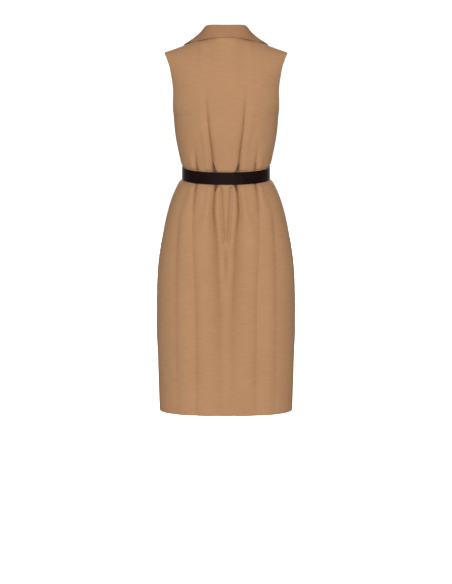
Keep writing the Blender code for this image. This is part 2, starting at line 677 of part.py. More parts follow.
def build_cloth(collection, camel, collar_camel):
    """Back, two fronts, two lapels and the collar."""
    sheet("back_panel", back_grid(), camel, CLOTH, collection)
    sheet("front_left", front_grid(True), camel, CLOTH, collection, flip=True)
    sheet("front_right", mirrored(front_grid(False)), camel, CLOTH, collection)
    sheet("lapel_left", lapel_grid(True), collar_camel, DOUBLE_CLOTH, collection, offset=0.0)
    right = mirrored(lapel_grid(False))
    sheet("lapel_right", right, collar_camel, DOUBLE_CLOTH, collection, flip=True, offset=0.0)
    sheet("collar", collar_grid(), collar_camel, DOUBLE_CLOTH, collection, offset=0.0)


def bar(name, points, radius, material, collection, closed=False):
    """A round metal bar along a line of points."""
    curve = bpy.data.curves.new(name, "CURVE")
    curve.dimensions = "3D"
    curve.bevel_depth = radius
    curve.bevel_resolution = 2
    curve.use_fill_caps = not closed
    line = curve.splines.new("POLY")
    line.points.add(len(points) - 1)
    for knot, point in zip(line.points, points):
        knot.co = (*point, 1.0)
    line.use_cyclic_u = closed
    curve.materials.append(material)
    piece = bpy.data.objects.new(name, curve)
    collection.objects.link(piece)
    return piece


def box_on_belt(name, run, low, high, length, height):
    """A box square to the belt at a distance along it, from a low to a high radial place."""
    bm = bmesh.new()
    bmesh.ops.create_cube(bm, size=1)
    bmesh.ops.scale(bm, vec=(length, high - low, height), verts=bm.verts)
    point, out, along = belt_frame(run)
    turn = math.atan2(along[1], along[0])
    middle = point + out * (low + high) / 2
    tilt = math.atan2(WAIST_LEAN * float(along[1]), column("front_depth", BELT_Z))
    turned = Matrix.Rotation(turn, 3, "Z") @ Matrix.Rotation(tilt, 3, "Y")
    bmesh.ops.rotate(bm, cent=(0, 0, 0), matrix=turned, verts=bm.verts)
    bmesh.ops.translate(bm, vec=lean(middle[None])[0], verts=bm.verts)
    mesh = bpy.data.meshes.new(name)
    bm.to_mesh(mesh)
    bm.free()
    return bpy.data.objects.new(name, mesh)


def buckle_outline(corner_steps=4):
    """A rectangle with round corners, as distance along the belt and height."""
    half_long = (HEEL_RUN - FRONT_BAR_RUN) / 2
    outline = []
    for corner, (towards_heel, up) in enumerate(((1, 1), (-1, 1), (-1, -1), (1, -1))):
        for angle in math.pi / 2 * (corner + np.linspace(0, 1, corner_steps + 1)):
            run = towards_heel * (half_long - BUCKLE_CORNER) + BUCKLE_CORNER * math.cos(angle)
            height = up * (BUCKLE_HALF_TALL - BUCKLE_CORNER) + BUCKLE_CORNER * math.sin(angle)
            outline.append((run, height))
    return outline


def build_buckle(collection, metal):
    """The buckle's frame, and its prong from behind the strap's end to over the front bar."""
    frame = []
    for run, height in buckle_outline():
        towards_heel = (run - FRONT_BAR_RUN) / (HEEL_RUN - FRONT_BAR_RUN)
        radial = FRONT_BAR_RADIAL + (HEEL_RADIAL - FRONT_BAR_RADIAL) * towards_heel
        frame.append(on_belt(run, radial, height))
    bar("belt_buckle_frame", frame, BAR_RADIUS, metal, collection, closed=True)
    over_strap = BELT_THICK + LAYER_STEP + PRONG_CLEAR + PRONG_RADIUS
    over_bar = FRONT_BAR_RADIAL + BAR_RADIUS + PRONG_CLEAR + PRONG_RADIUS
    prong = [on_belt(PRONG_ROOT_RUN, over_strap, 0)]
    prong += [on_belt(share * PRONG_TIP_RUN, over_bar, 0) for share in (0, 0.7, 1)]
    bar("belt_buckle_prong", prong, PRONG_RADIUS, metal, collection)


def build_keeper(collection, cutters, leather):
    """The loop that holds the strap's end down: a block round both layers, cut through."""
    low, high = -KEEPER_CLEAR, BELT_THICK + LAYER_STEP + KEEPER_CLEAR
    hole_tall = BELT_TALL + 2 * KEEPER_CLEAR
    wall = KEEPER_WALL
    keeper = box_on_belt(
        "belt_keeper", KEEPER_RUN, low - wall, high + wall, KEEPER_LONG, hole_tall + 2 * wall
    )
    keeper.data.materials.append(leather)
    collection.objects.link(keeper)
    cutter = box_on_belt("keeper_hole", KEEPER_RUN, low, high, 2 * KEEPER_LONG, hole_tall)
    cutter.hide_render = True
    cutter.display_type = "WIRE"
    cutters.objects.link(cutter)
    hole = keeper.modifiers.new("hole", "BOOLEAN")
    hole.operation = "DIFFERENCE"
    hole.solver = "EXACT"
    hole.object = cutter
    return keeper


def main():
    """Builds the dress and its belt."""
    collection, cutters = fresh_scene()
    camel = finish("camel_cloth", CAMEL, 0.85)
    collar_camel = finish("camel_collar_cloth", CAMEL_COLLAR, 0.85)
    leather = finish("dark_leather", DARK_LEATHER, 0.45)
    metal = finish("dark_metal", DARK_METAL, 0.35, 1.0)
    build_cloth(collection, camel, collar_camel)
    sheet("belt_strap", strap_rows(), leather, BELT_THICK, collection, flip=True, offset=0.0)
    build_buckle(collection, metal)
    build_keeper(collection, cutters, leather)


main()
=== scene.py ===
"""Looks of a sleeveless camel shift dress with a tailored collar, a wrap front and a leather belt.

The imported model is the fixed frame. Each cloth piece is a thin sheet on the worn form, with its
edges turned over, and it stands for the plain solid of the same name. Metres, +Z up, the front
faces -Y and the wearer's left is at +X.
"""

import logging
import math
from dataclasses import dataclass, field
from enum import Enum

import bpy
import numpy as np
from bpy.types import Material, Node, NodeSocket, Object
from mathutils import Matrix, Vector


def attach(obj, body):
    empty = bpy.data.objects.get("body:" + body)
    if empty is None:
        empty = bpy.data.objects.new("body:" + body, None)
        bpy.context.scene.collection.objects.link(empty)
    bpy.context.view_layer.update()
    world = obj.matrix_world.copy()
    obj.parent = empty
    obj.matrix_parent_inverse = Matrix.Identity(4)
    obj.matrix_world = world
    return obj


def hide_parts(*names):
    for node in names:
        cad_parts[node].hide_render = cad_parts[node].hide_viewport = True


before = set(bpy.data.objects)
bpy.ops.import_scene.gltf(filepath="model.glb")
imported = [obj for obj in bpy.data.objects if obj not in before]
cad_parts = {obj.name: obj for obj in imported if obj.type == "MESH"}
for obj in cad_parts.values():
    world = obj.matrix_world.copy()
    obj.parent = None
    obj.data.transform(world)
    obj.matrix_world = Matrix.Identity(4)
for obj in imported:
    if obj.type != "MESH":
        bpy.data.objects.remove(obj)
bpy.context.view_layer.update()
LOG = logging.getLogger("shift_dress")
MM = 0.001
UP = np.array([0.0, 0.0, 1.0])
TINY = 1e-9  # keeps a division or a root from running on nought


class Half(Enum):
    """Which half of the dress a piece belongs to; the value is the sign of y there."""

    BACK = 1
    FRONT = -1


class Side(Enum):
    """The wearer's side; the value is the sign of x there."""

    LEFT = 1
    RIGHT = -1


class Slot(Enum):
    """The record's material slots."""

    CLOTH = "dress_cloth"
    LEATHER = "belt_leather"
    METAL = "buckle_metal"


# ---------------- curves, steps and noise


Array = np.ndarray
Table = dict[str, Array]


def table(columns: str, *rows: tuple[float, ...]) -> Table:
    """Makes a short table of named columns.

    Args:
        columns: The columns' names, with spaces between them.
        rows: One tuple for each row, lowest first.

    Returns:
        The columns by name.
    """
    return dict(zip(columns.split(), np.array(rows, float).T))


def smooth(at: Array, knots: Array, values: Array) -> Array:
    """Reads a smooth line through a table's column that never overshoots it.

    Between two knots it is the cubic whose end slopes are the harmonic means of the chords'
    slopes on both sides, or nought where those slopes differ in sign.

    Args:
        at: Where to read it.
        knots: The knots' places, rising.
        values: The values there.

    Returns:
        The line's values.
    """
    step = np.diff(knots)
    slope = np.diff(values) / step
    before, after = slope[:-1], slope[1:]
    same_way = before * after > 0
    safe = np.where(same_way, before + after, 1.0)
    inner = np.where(same_way, 2 * before * after / safe, 0.0)
    tangent = np.concatenate(([slope[0]], inner, [slope[-1]]))
    at = np.clip(np.asarray(at, float), knots[0], knots[-1])
    i = np.clip(np.searchsorted(knots, at, side="right") - 1, 0, len(step) - 1)
    t = (at - knots[i]) / step[i]
    return (
        values[i] * (1 + 2 * t) * (1 - t) ** 2
        + values[i + 1] * t * t * (3 - 2 * t)
        + step[i] * t * (1 - t) * (tangent[i] * (1 - t) - tangent[i + 1] * t)
    )


def ease(t: Array) -> Array:
    """0 to 1 with a soft start and a soft end: 3t^2 - 2t^3."""
    t = np.clip(t, 0.0, 1.0)
    return t * t * (3 - 2 * t)


def bell(t: Array) -> Array:
    """The bell curve exp(-t^2)."""
    return np.exp(-(t**2))


def dip(t: Array, power: float) -> Array:
    """A trough of depth one, exp(-|t|^power): a power of 1 has a sharp bottom, 2 a round one."""
    return np.exp(-np.abs(t) ** power)


def crowded(steps: int, pull: float) -> Array:
    """0 to 1 in so many steps, closer together at both ends: t - pull sin(2 pi t) / 2 pi."""
    t = np.linspace(0, 1, steps + 1)
    return t - pull * np.sin(2 * math.pi * t) / (2 * math.pi)


def between(knots: list[Array], steps: tuple[int, ...], pull: float) -> Array:
    """Column places that pass through every knot, crowded towards each.

    Args:
        knots: Arrays of the knots' places, one value for each row.
        steps: How many columns lie between one knot and the next.
        pull: How strongly the columns crowd to the knots, 0 to 1.

    Returns:
        A grid of places, one row for each row of the knots.
    """
    parts = [knots[0][:, None]]
    for start, end, count in zip(knots[:-1], knots[1:], steps):
        parts.append(start[:, None] + (end - start)[:, None] * crowded(count, pull)[1:])
    return np.concatenate(parts, axis=1)


def through(points: Array, at: Array) -> Array:
    """Reads smooth curves through control points, all curves at once.

    Each is a Catmull-Rom curve: a cubic between two controls whose slope at a control is half
    the step from the control before to the one after.

    Args:
        points: Controls, shaped (curves, controls, 3).
        at: Places along the curves, counted in controls.

    Returns:
        Points shaped (curves, places, 3).
    """
    slope = np.gradient(points, axis=1)
    i = np.clip(np.floor(at).astype(int), 0, points.shape[1] - 2)
    t = (at - i)[None, :, None]
    return (
        points[:, i] * (1 + 2 * t) * (1 - t) ** 2
        + points[:, i + 1] * t * t * (3 - 2 * t)
        + slope[:, i] * t * (1 - t) ** 2
        - slope[:, i + 1] * t * t * (1 - t)
    )


def unit(vectors: Array) -> Array:
    """The vectors at length one."""
    return vectors / np.maximum(np.linalg.norm(vectors, axis=-1, keepdims=True), 1e-12)


def arc(points: Array, axis: int) -> Array:
    """The distance run over a grid, from its first row or column.

    Args:
        points: The grid, shaped (rows, columns, 3).
        axis: 0 to run from row to row, 1 from column to column.

    Returns:
        The distances, one for each point.
    """
    steps = np.linalg.norm(np.diff(points, axis=axis), axis=-1)
    start = np.zeros_like(np.take(steps, [0], axis=axis))
    return np.concatenate((start, np.cumsum(steps, axis=axis)), axis=axis)


def outwards(points: Array, sign: float = 1.0) -> Array:
    """A grid's unit normals: the cross product of its two directions, times the sign.

    Args:
        points: The grid, shaped (rows, columns, 3).
        sign: 1 or -1.

    Returns:
        The normals, one for each point.
    """
    across = np.gradient(points, axis=1)
    along = np.gradient(points, axis=0)
    return sign * unit(np.cross(across, along))


# ---------------- the worn form


@dataclass(frozen=True)
class Fold:
    """One fold that runs up and down the cloth from the belt.

    Its outer flank, towards the side seam, is steep and stands out beside the fold; its inner
    flank runs out softly towards the centre. Close to the belt it is pinched deep and opens as
    a wedge.
    """

    rows: Table  # z, distance from the centre, depth, crispness
    steep: float = 3.2 * MM  # breadth of the outer flank
    slope: float = 9.5 * MM  # breadth of the inner flank
    ridge_share: float = 0.30  # height of the ridge outside the fold, to its depth
    softening: float = 2.0  # how much broader the outer flank is where the fold isn't crisp
    pinch: float = 19.0 * MM  # extra depth at the belt
    wedge: float = 6.5 * MM  # breadth of the pinched wedge at the belt
    crease: float = 3.0 * MM  # extra depth on the fold's own line
    lap: float = 2.4 * MM  # how far the outer lip lies over the line
    power: float = 1.6  # 1 draws the trough to a sharp line, 2 rounds it

    def share(self, z: Array, width: Array) -> Array:
        """Where the fold runs, as a share of the half-width."""
        return np.clip(smooth(z, self.rows["z"], self.rows["x"]) / width, 0, 1)

    def depth(self, z: Array) -> Array:
        """How deep the fold is."""
        return smooth(z, self.rows["z"], self.rows["depth"])

    def crisp(self, z: Array) -> Array:
        """How sharp its line is, 0 to 1."""
        return smooth(z, self.rows["z"], self.rows["crisp"])


SECTIONS = table(
    "z back_width front_width back_depth front_depth",
    (-1.0620, 0.1900, 0.1900, 0.1130, 0.1110),
    (-0.9680, 0.1930, 0.1930, 0.1165, 0.1130),
    (-0.9050, 0.1947, 0.1947, 0.1190, 0.1145),
    (-0.8300, 0.1976, 0.1976, 0.1220, 0.1160),
    (-0.7600, 0.1976, 0.1976, 0.1245, 0.1170),
    (-0.6970, 0.1966, 0.1966, 0.1265, 0.1175),
    (-0.6450, 0.1937, 0.1937, 0.1275, 0.1170),
    (-0.5930, 0.1868, 0.1868, 0.1270, 0.1155),
    (-0.5515, 0.1789, 0.1789, 0.1240, 0.1130),
    (-0.5090, 0.1700, 0.1700, 0.1185, 0.1090),
    (-0.4785, 0.1622, 0.1622, 0.1130, 0.1055),
    (-0.4520, 0.1537, 0.1537, 0.1070, 0.1020),
    (-0.4260, 0.1424, 0.1424, 0.1000, 0.0985),
    (-0.4080, 0.1328, 0.1328, 0.0952, 0.0972),
    (-0.4005, 0.1238, 0.1238, 0.0922, 0.0950),
    (-0.3970, 0.1216, 0.1216, 0.0900, 0.0930),
    (-0.3790, 0.1214, 0.1214, 0.0898, 0.0928),
    (-0.3610, 0.1216, 0.1216, 0.0900, 0.0930),
    (-0.3575, 0.1238, 0.1238, 0.0922, 0.0952),
    (-0.3500, 0.1276, 0.1276, 0.0942, 0.0980),
    (-0.3350, 0.1310, 0.1310, 0.0966, 0.1008),
    (-0.3120, 0.1360, 0.1360, 0.1000, 0.1065),
    (-0.2890, 0.1404, 0.1404, 0.1035, 0.1135),
    (-0.2665, 0.1438, 0.1438, 0.1060, 0.1190),
    (-0.2440, 0.1460, 0.1460, 0.1075, 0.1220),
    (-0.2150, 0.1482, 0.1482, 0.1085, 0.1215),
    (-0.1980, 0.1498, 0.1490, 0.1092, 0.1205),
    (-0.1750, 0.1498, 0.1478, 0.1100, 0.1185),
    (-0.1525, 0.1490, 0.1452, 0.1102, 0.1160),
    (-0.1300, 0.1505, 0.1447, 0.1098, 0.1120),
    (-0.1070, 0.1542, 0.1465, 0.1082, 0.1075),
    (-0.0840, 0.1585, 0.1510, 0.1050, 0.1035),
    (-0.0610, 0.1658, 0.1596, 0.1005, 0.0995),
    (-0.0500, 0.1697, 0.1650, 0.0980, 0.0975),
    (-0.0397, 0.1731, 0.1731, 0.0950, 0.0955),
    (0.0120, 0.1731, 0.1731, 0.0850, 0.0880),
)


@dataclass(frozen=True)
class WornForm:
    """The filled-out form that every cloth piece lies on."""

    hem_z: float = -1.062
    underarm_z: float = -0.215
    neck_x: float = 0.077
    neck_z: float = -0.003
    shoulder_y: float = 0.005
    tip_x: float = 0.1731
    tip_z: float = -0.0397
    shoulder_sag: float = 1.4 * MM
    nape_y: float = 0.062
    nape_z: float = 0.012
    squareness: float = 2.3
    cap_fullness: float = 2.6
    shoulder_round: float = 1 / 2.4
    nape_round: float = 2.2
    nape_blend: float = 0.04
    armhole_half: float = 0.046
    armhole_round: float = 0.055
    belt_z: float = -0.379
    belt_tall: float = 0.035
    belt_edge: float = 1 * MM  # how far beyond the belt's edges the cloth stays as under it
    waist_lean: float = 8.5 * MM
    lean_reach: float = 0.10
    seam_gap: float = 0.1 * MM
    shoulder_gap: float = 0.2 * MM
    folds_top_z: float = -0.103
    folds_fade: float = 0.05
    sections: Table = field(default_factory=lambda: SECTIONS)

    def column(self, name: str, z: Array) -> Array:
        """One column of the section table at height z."""
        return smooth(z, self.sections["z"], self.sections[name])

    def width(self, z: Array, half: Half) -> Array:
        """Half-width of the dress, or above the underarm of the panel to its armhole edge."""
        return self.column(half.name.lower() + "_width", z)

    def depth(self, z: Array, half: Half) -> Array:
        """Half-depth of the dress at the centre."""
        return self.column(half.name.lower() + "_depth", z)

    def top_z(self, x: Array, half: Half) -> Array:
        """Height of the panel's upper edge.

        The shoulder seam is a straight line less half a sine wave of sag; the back neck seam
        is a parabola above the neck point.

        Args:
            x: Places across.
            half: Back or front.

        Returns:
            The heights there.
        """
        out = np.abs(x)
        span = self.tip_x - self.neck_x
        inside = self.nape_z - self.neck_z if half is Half.BACK else 0.0
        neck = self.neck_z + inside * (1 - np.clip(out / self.neck_x, 0, 1) ** 2)
        along = np.clip((out - self.neck_x) / span, 0, 1)
        drop = (self.neck_z - self.tip_z) * (out - self.neck_x) / span
        shoulder = self.neck_z - drop - self.shoulder_sag * np.sin(math.pi * along)
        return np.where(out > self.neck_x, shoulder, neck)

    def top_y(self, x: Array, half: Half) -> Array:
        """Depth of the panel's upper edge: one plane at the shoulder, a curve at the back neck.

        The curve is the plane plus the nape's depth times 1 - |x / neck|^round.

        Args:
            x: Places across.
            half: Back or front.

        Returns:
            The y there.
        """
        if half is Half.FRONT:
            return np.full_like(x, self.shoulder_y - self.shoulder_gap / 2)
        neck = 1 - np.clip(np.abs(x) / self.neck_x, 0, 1) ** self.nape_round
        return self.shoulder_y + self.shoulder_gap / 2 + (self.nape_y - self.shoulder_y) * neck

    def fullness(self, z: Array, half: Half) -> Array:
        """How much wider the figure is than the panel beside the armhole.

        The armhole's half-breadth follows a quarter circle from its lower end up; the oval is
        widened until its edge lies that far off the side.

        Args:
            z: Heights.
            half: Back or front.

        Returns:
            The oval's width to the panel's, 1 and more.
        """
        rise = np.clip((z - self.underarm_z) / self.armhole_round, 0, 1)
        opening = self.armhole_half * np.sqrt(rise * (2 - rise)) / self.depth(z, half)
        return (1 - opening**self.squareness) ** (-1 / self.squareness)

    def surface_y(self, x: Array, z: Array, half: Half) -> Array:
        """Depth of the outer cloth face, before its folds.

        It is the oval |x/w|^n + |y/d|^n = 1 of the section, drawn in over the shoulder by the
        factor (1 - rise^c)^s so that it meets the other half there.

        Args:
            x: Places across.
            z: Heights.
            half: Back or front.

        Returns:
            The y of the face there.
        """
        n = self.squareness
        share = np.abs(x) / (self.width(z, half) * self.fullness(z, half))
        oval = (1 - np.clip(share, 0, 1) ** n) ** (1 / n)
        full = self.seam_gap / 2 + (self.depth(z, half) - self.seam_gap / 2) * oval
        top_z = self.top_z(x, half)
        rise = np.clip((z - self.underarm_z) / (top_z - self.underarm_z), 0, 1)
        in_neck = ease((self.neck_x - np.abs(x)) / self.nape_blend) * (half is Half.BACK)
        turn = self.shoulder_round + (1 - self.shoulder_round) * in_neck
        cap = np.clip(1 - rise**self.cap_fullness, 0, 1) ** turn
        top = self.top_y(x, half)
        return top + half.value * (full - half.value * top) * cap

    def lean(self, points: Array) -> Array:
        """Tips the waist down towards the back.

        The drop is a bell of the height, times the depth over the front's depth.

        Args:
            points: Points before the waist is tipped.

        Returns:
            The points moved down.
        """
        drop = self.waist_lean * bell((points[..., 2] - self.belt_z) / self.lean_reach)
        depth = self.column("front_depth", np.array(self.belt_z))
        return points - UP * (drop * points[..., 1] / depth)[..., None]

    def off_belt(self, z: Array, reach: float = 20 * MM) -> Array:
        """0 under the belt, 1 from the reach beyond its edges."""
        beyond = np.abs(z - self.belt_z) - self.belt_tall / 2
        return ease((beyond - self.belt_edge) / reach)

    def around(self, x: Array, z: Array, half: Half) -> tuple[Array, Array]:
        """Where a place lies on the oval.

        The angle is arccos(|x/w|^(n/2)), 0 at the side and a quarter turn at the centre; the
        radius is the mean one, the root of width times depth.

        Args:
            x: Places across.
            z: Heights.
            half: Back or front.

        Returns:
            The angle and the oval's mean radius.
        """
        width = self.width(z, half)
        radius = np.sqrt(width * self.depth(z, half))
        share = np.clip(np.abs(x) / width, 0, 1)
        return np.arccos(share ** (self.squareness / 2)), radius


# ---------------- folds of the cloth


@dataclass(frozen=True)
class Relief:
    """What the folds, creases and slight unevenness do to one half of the cloth."""

    form: WornForm
    half: Half
    folds: tuple[Fold, ...]
    spread: float = 0.6  # how much broader the folds are far from the belt
    spread_start: float = 0.03
    spread_reach: float = 0.35
    flat_by_belt: float = 9 * MM  # the ridges reach their height this far from the belt
    ridge_away: float = 3.0  # the ridge's place and breadth, in outer flanks
    ridge_broad: float = 2.2
    crease_out: float = 1.2 * MM
    crease_in: float = 4.5 * MM
    crease_power: float = 1.4
    pinch_reach: float = 26 * MM
    pinch_growth: float = 2.5
    pinch_out: float = 1.0 * MM
    pinch_in: float = 0.8 * MM
    pinch_power: float = 2.4
    lip: float = 2 * MM  # the lip's place outside the line, and its breadth
    waves: int = 14
    wave_height: float = 0.28 * MM
    wave_long: tuple[float, float] = (0.07, 0.20)
    wave_turn: float = 0.35
    wave_down: float = 0.45  # how fast they turn down the cloth, to across it
    calm_below: float = 0.05
    calm_reach: float = 0.1
    seed: int = 5

    def fold(self, fold: Fold, x: Array, z: Array) -> tuple[Array, Array]:
        """How far one fold presses the cloth in, and how far its lip laps over it.

        With u the distance from the fold towards the centre, the trough is
        depth exp(-|u / flank|^power), the ridge a bell beside it, the crease a narrow trough on
        the fold's line, and the pinch a deeper one that opens as a wedge close to the belt.
        The lip is moved along the cloth by a bell just outside the line.

        Args:
            fold: The fold.
            x: Places across.
            z: Heights.

        Returns:
            Distances inwards, and distances along the cloth towards the centre.
        """
        angle, radius = self.form.around(x, z, self.half)
        share = fold.share(z, self.form.width(z, self.half))
        at_fold = np.arccos(share ** (self.form.squareness / 2))
        u = (angle - at_fold) * radius
        from_belt = np.abs(z - self.form.belt_z)
        spread = 1 + self.spread * ease((from_belt - self.spread_start) / self.spread_reach)
        depth, crisp = fold.depth(z), fold.crisp(z)
        steep = fold.steep * (1 + fold.softening * (1 - crisp))
        flank = np.where(u < 0, steep, fold.slope) * spread
        beyond = np.maximum(from_belt - self.form.belt_tall / 2, 0)
        near = np.clip(1 - beyond / self.pinch_reach, 0, 1)
        trough = dip(u / flank, fold.power)
        ridge = bell((u / spread + self.ridge_away * steep) / (self.ridge_broad * steep))
        ridge = ridge * self.form.off_belt(z, self.flat_by_belt)
        crease = dip(u / np.where(u < 0, self.crease_out, self.crease_in), self.crease_power)
        opening = np.where(u < 0, self.pinch_out, fold.wedge * near + self.pinch_in)
        pinch = ease(self.pinch_growth * near) * dip(u / opening, self.pinch_power)
        press = depth * (trough - fold.ridge_share * ridge)
        press = press + fold.crease * crisp * crease + fold.pinch * pinch
        return press, fold.lap * crisp * bell((u + self.lip) / self.lip)

    def creases(self, x: Array, z: Array) -> Array:
        """Other soft troughs, in metres inwards; none on a plain half."""
        return np.zeros_like(x * z)

    def unevenness(self, x: Array, z: Array) -> Array:
        """A sum of slow waves with seeded lengths, turns and phases, less at belt and edges.

        Each wave is sin(2 pi (x across + z down) + phase), and the sum is divided by the root
        of their number.

        Args:
            x: Places across.
            z: Heights.

        Returns:
            Distances inwards.
        """
        rng = np.random.default_rng(self.seed)
        total = np.zeros_like(x)
        for _ in range(self.waves):
            length = rng.uniform(*self.wave_long)
            turn = rng.normal(0.0, self.wave_turn)
            phase = rng.uniform(0, 2 * math.pi)
            across = math.cos(turn) / length
            down = self.wave_down * math.sin(turn) / length
            total += np.sin(2 * math.pi * (x * across + z * down) + phase)
        below_neck = ease((self.form.neck_z - self.calm_below - z) / self.calm_reach)
        calm = self.form.off_belt(z) * below_neck
        return self.wave_height * total / math.sqrt(self.waves) * calm

    def press(self, x: Array, z: Array) -> tuple[Array, Array]:
        """All folds, creases and unevenness together, which fade out below the shoulders.

        Args:
            x: Places across.
            z: Heights.

        Returns:
            Distances inwards, and distances along the cloth towards the centre.
        """
        inwards = self.creases(x, z) + self.unevenness(x, z)
        along = np.zeros_like(inwards)
        for fold in self.folds:
            pressed, lapped = self.fold(fold, x, z)
            inwards = inwards + pressed
            along = along + lapped
        below = ease((self.form.folds_top_z - z) / self.form.folds_fade)
        return inwards * below, along * below

    def points(self, x: Array, z: Array, inset: Array) -> Array:
        """Points of the outer cloth face.

        The base point is moved along the oval's inward normal by the relief and the inset, and
        along the oval towards the centre by the lap; then the waist's lean is added.

        Args:
            x: Places across.
            z: Heights.
            inset: Extra distance inwards.

        Returns:
            A grid of points.
        """
        y = self.form.surface_y(x, z, self.half)
        nx = x / self.form.width(z, self.half) ** 2
        ny = y / self.form.depth(z, self.half) ** 2
        size = np.sqrt(nx**2 + ny**2) + TINY
        nx, ny = nx / size, ny / size
        press, lap = self.press(x, z)
        press = press + inset
        lap = lap * np.sign(x) * self.half.value
        moved = np.stack((x - nx * press - ny * lap, y - ny * press + nx * lap, z), axis=-1)
        return self.form.lean(moved)


@dataclass(frozen=True)
class BackRelief(Relief):
    """The back's folds, with the soft V between the two inner folds."""

    v_top_z: float = -0.400
    v_end_z: float = -0.590
    v_half: float = 0.0172
    v_bend: float = 0.55
    v_depth: float = 12.0 * MM
    v_flank: float = 8.0 * MM
    v_power: float = 1.15
    leg_start: float = 12 * MM  # the legs reach their depth this far from the belt
    leg_end: float = 0.2  # and fade out over this share of their height at the point
    groove_z: float = -0.625
    groove_reach: float = 0.070
    groove_depth: float = 11.0 * MM
    groove_half: float = 8.5 * MM
    peak_z: float = -0.228
    peak_half: float = 0.036
    peak_depth: float = 2.0 * MM
    peak_bend: float = 1.0

    def legs(
        self, x: Array, z: Array, end: float, start: float, half: float, bend: float
    ) -> tuple[Array, Array]:
        """A V's two legs, which meet on the centre line at its end, as 1 on a leg.

        Args:
            x: Places across.
            z: Heights.
            end: Height of the V's point.
            start: Height where the legs stand furthest apart, at the belt.
            half: Their distance from the centre there.
            bend: The power of the height's share by which they draw together; 1 is straight.

        Returns:
            How near each place is to a leg, and the share of the way from the point, 0 to 1.
        """
        share = np.clip((z - end) / (start - end), 0, 1)
        away = np.abs(x) - half * share**bend
        return dip(away / self.v_flank, self.v_power), share

    def creases(self, x: Array, z: Array) -> Array:
        """The V below the belt, the groove under its point and the faint V above the belt.

        Each leg is a narrow trough; the groove is a bell in height and a narrow trough across.

        Args:
            x: Places across.
            z: Heights.

        Returns:
            Distances inwards.
        """
        edge = self.form.belt_tall / 2 + self.form.belt_edge
        below, share = self.legs(x, z, self.v_end_z, self.v_top_z, self.v_half, self.v_bend)
        under = ease((self.form.belt_z - edge - z) / self.leg_start) * ease(share / self.leg_end)
        above, up = self.legs(x, z, self.peak_z, self.form.belt_z, self.peak_half, self.peak_bend)
        over = ease((z - self.form.belt_z - edge) / self.leg_start) * ease(up / self.leg_end)
        tall = bell((z - self.groove_z) / self.groove_reach)
        groove = self.groove_depth * tall * dip(x / self.groove_half, self.v_power)
        return self.v_depth * below * under + self.peak_depth * above * over + groove


# ---------------- meshes


@dataclass
class Surface:
    """Points, faces and cloth coordinates gathered for one piece."""

    name: str
    points: Array
    faces: list[Array]
    uv: Array

    @classmethod
    def grid(cls, name: str, points: Array, uv: Array, flip: bool = False) -> "Surface":
        """A surface over a grid of points.

        Args:
            name: The piece's name.
            points: Points shaped (rows, columns, 3).
            uv: Cloth coordinates in metres, shaped (rows, columns, 2).
            flip: Turns the faces round.

        Returns:
            The surface.
        """
        rows, columns = points.shape[:2]
        start = (np.arange(rows - 1)[:, None] * columns + np.arange(columns - 1)).ravel()
        quads = np.stack((start, start + 1, start + columns + 1, start + columns), axis=1)
        faces = [quads[:, ::-1] if flip else quads]
        return cls(name, points.reshape(-1, 3), faces, uv.reshape(-1, 2))

    @classmethod
    def joined(cls, name: str, parts: list["Surface"]) -> "Surface":
        """Several surfaces as one, their points numbered on.

        Args:
            name: The piece's name.
            parts: The surfaces.

        Returns:
            The joined surface.
        """
        start = np.cumsum([0] + [len(part.points) for part in parts])
        faces = [block + first for first, part in zip(start, parts) for block in part.faces]
        points = np.concatenate([part.points for part in parts])
        return cls(name, points, faces, np.concatenate([part.uv for part in parts]))

    @classmethod
    def tube(cls, name: str, rings: Array, closed: bool) -> "Surface":
        """A surface round a row of rings, closed at both ends by a point, or into a loop.

        Args:
            name: The piece's name.
            rings: Points shaped (rings, points round a ring, 3).
            closed: Joins the last ring to the first.

        Returns:
            The surface; its cloth coordinates are the distances along and round it.
        """
        count, size = rings.shape[:2]
        ring = np.arange(count if closed else count - 1)[:, None]
        here, ahead = ring * size, (ring + 1) % count * size
        step, after = np.arange(size), (np.arange(size) + 1) % size
        quads = np.stack((here + step, here + after, ahead + after, ahead + step), axis=-1)
        faces = [quads.reshape(-1, 4)]
        points = rings.reshape(-1, 3)
        uv = np.stack((arc(rings, 0), arc(rings, 1)), axis=-1).reshape(-1, 2)
        if not closed:
            last, middle = (count - 1) * size, np.full(size, len(points))
            faces.append(np.stack((after, step, middle), axis=1))
            faces.append(np.stack((last + step, last + after, middle + 1), axis=1))
            points = np.concatenate((points, rings[[0, -1]].mean(axis=1)))
            uv = np.concatenate((uv, uv[[0, last]]))
        return cls(name, points, faces, uv)

    def build(self, material: Material) -> Object:
        """Makes the mesh object.

        Args:
            material: The piece's finish.

        Returns:
            The object, at the origin, with its place in its mesh.
        """
        mesh = bpy.data.meshes.new(self.name)
        faces = [face for block in self.faces for face in block.tolist()]
        mesh.from_pydata(self.points.tolist(), [], faces)
        corner = np.empty(len(mesh.loops), np.int32)
        mesh.loops.foreach_get("vertex_index", corner)
        layer = mesh.uv_layers.new(name="cloth_metres")
        layer.data.foreach_set("uv", self.uv[corner].astype(np.float32).ravel())
        mesh.shade_smooth()
        mesh.materials.append(material)
        mesh.validate()
        piece = bpy.data.objects.new(self.name, mesh)
        bpy.context.scene.collection.objects.link(piece)
        return piece


def finish_piece(piece: Object, node: str) -> None:
    """Lets a piece ride on the dress and stand for its node.

    Args:
        piece: The piece.
        node: The plain solid that it stands for.
    """
    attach(piece, "root")
    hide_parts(node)
    LOG.info("%s: %d points", piece.name, len(piece.data.vertices))


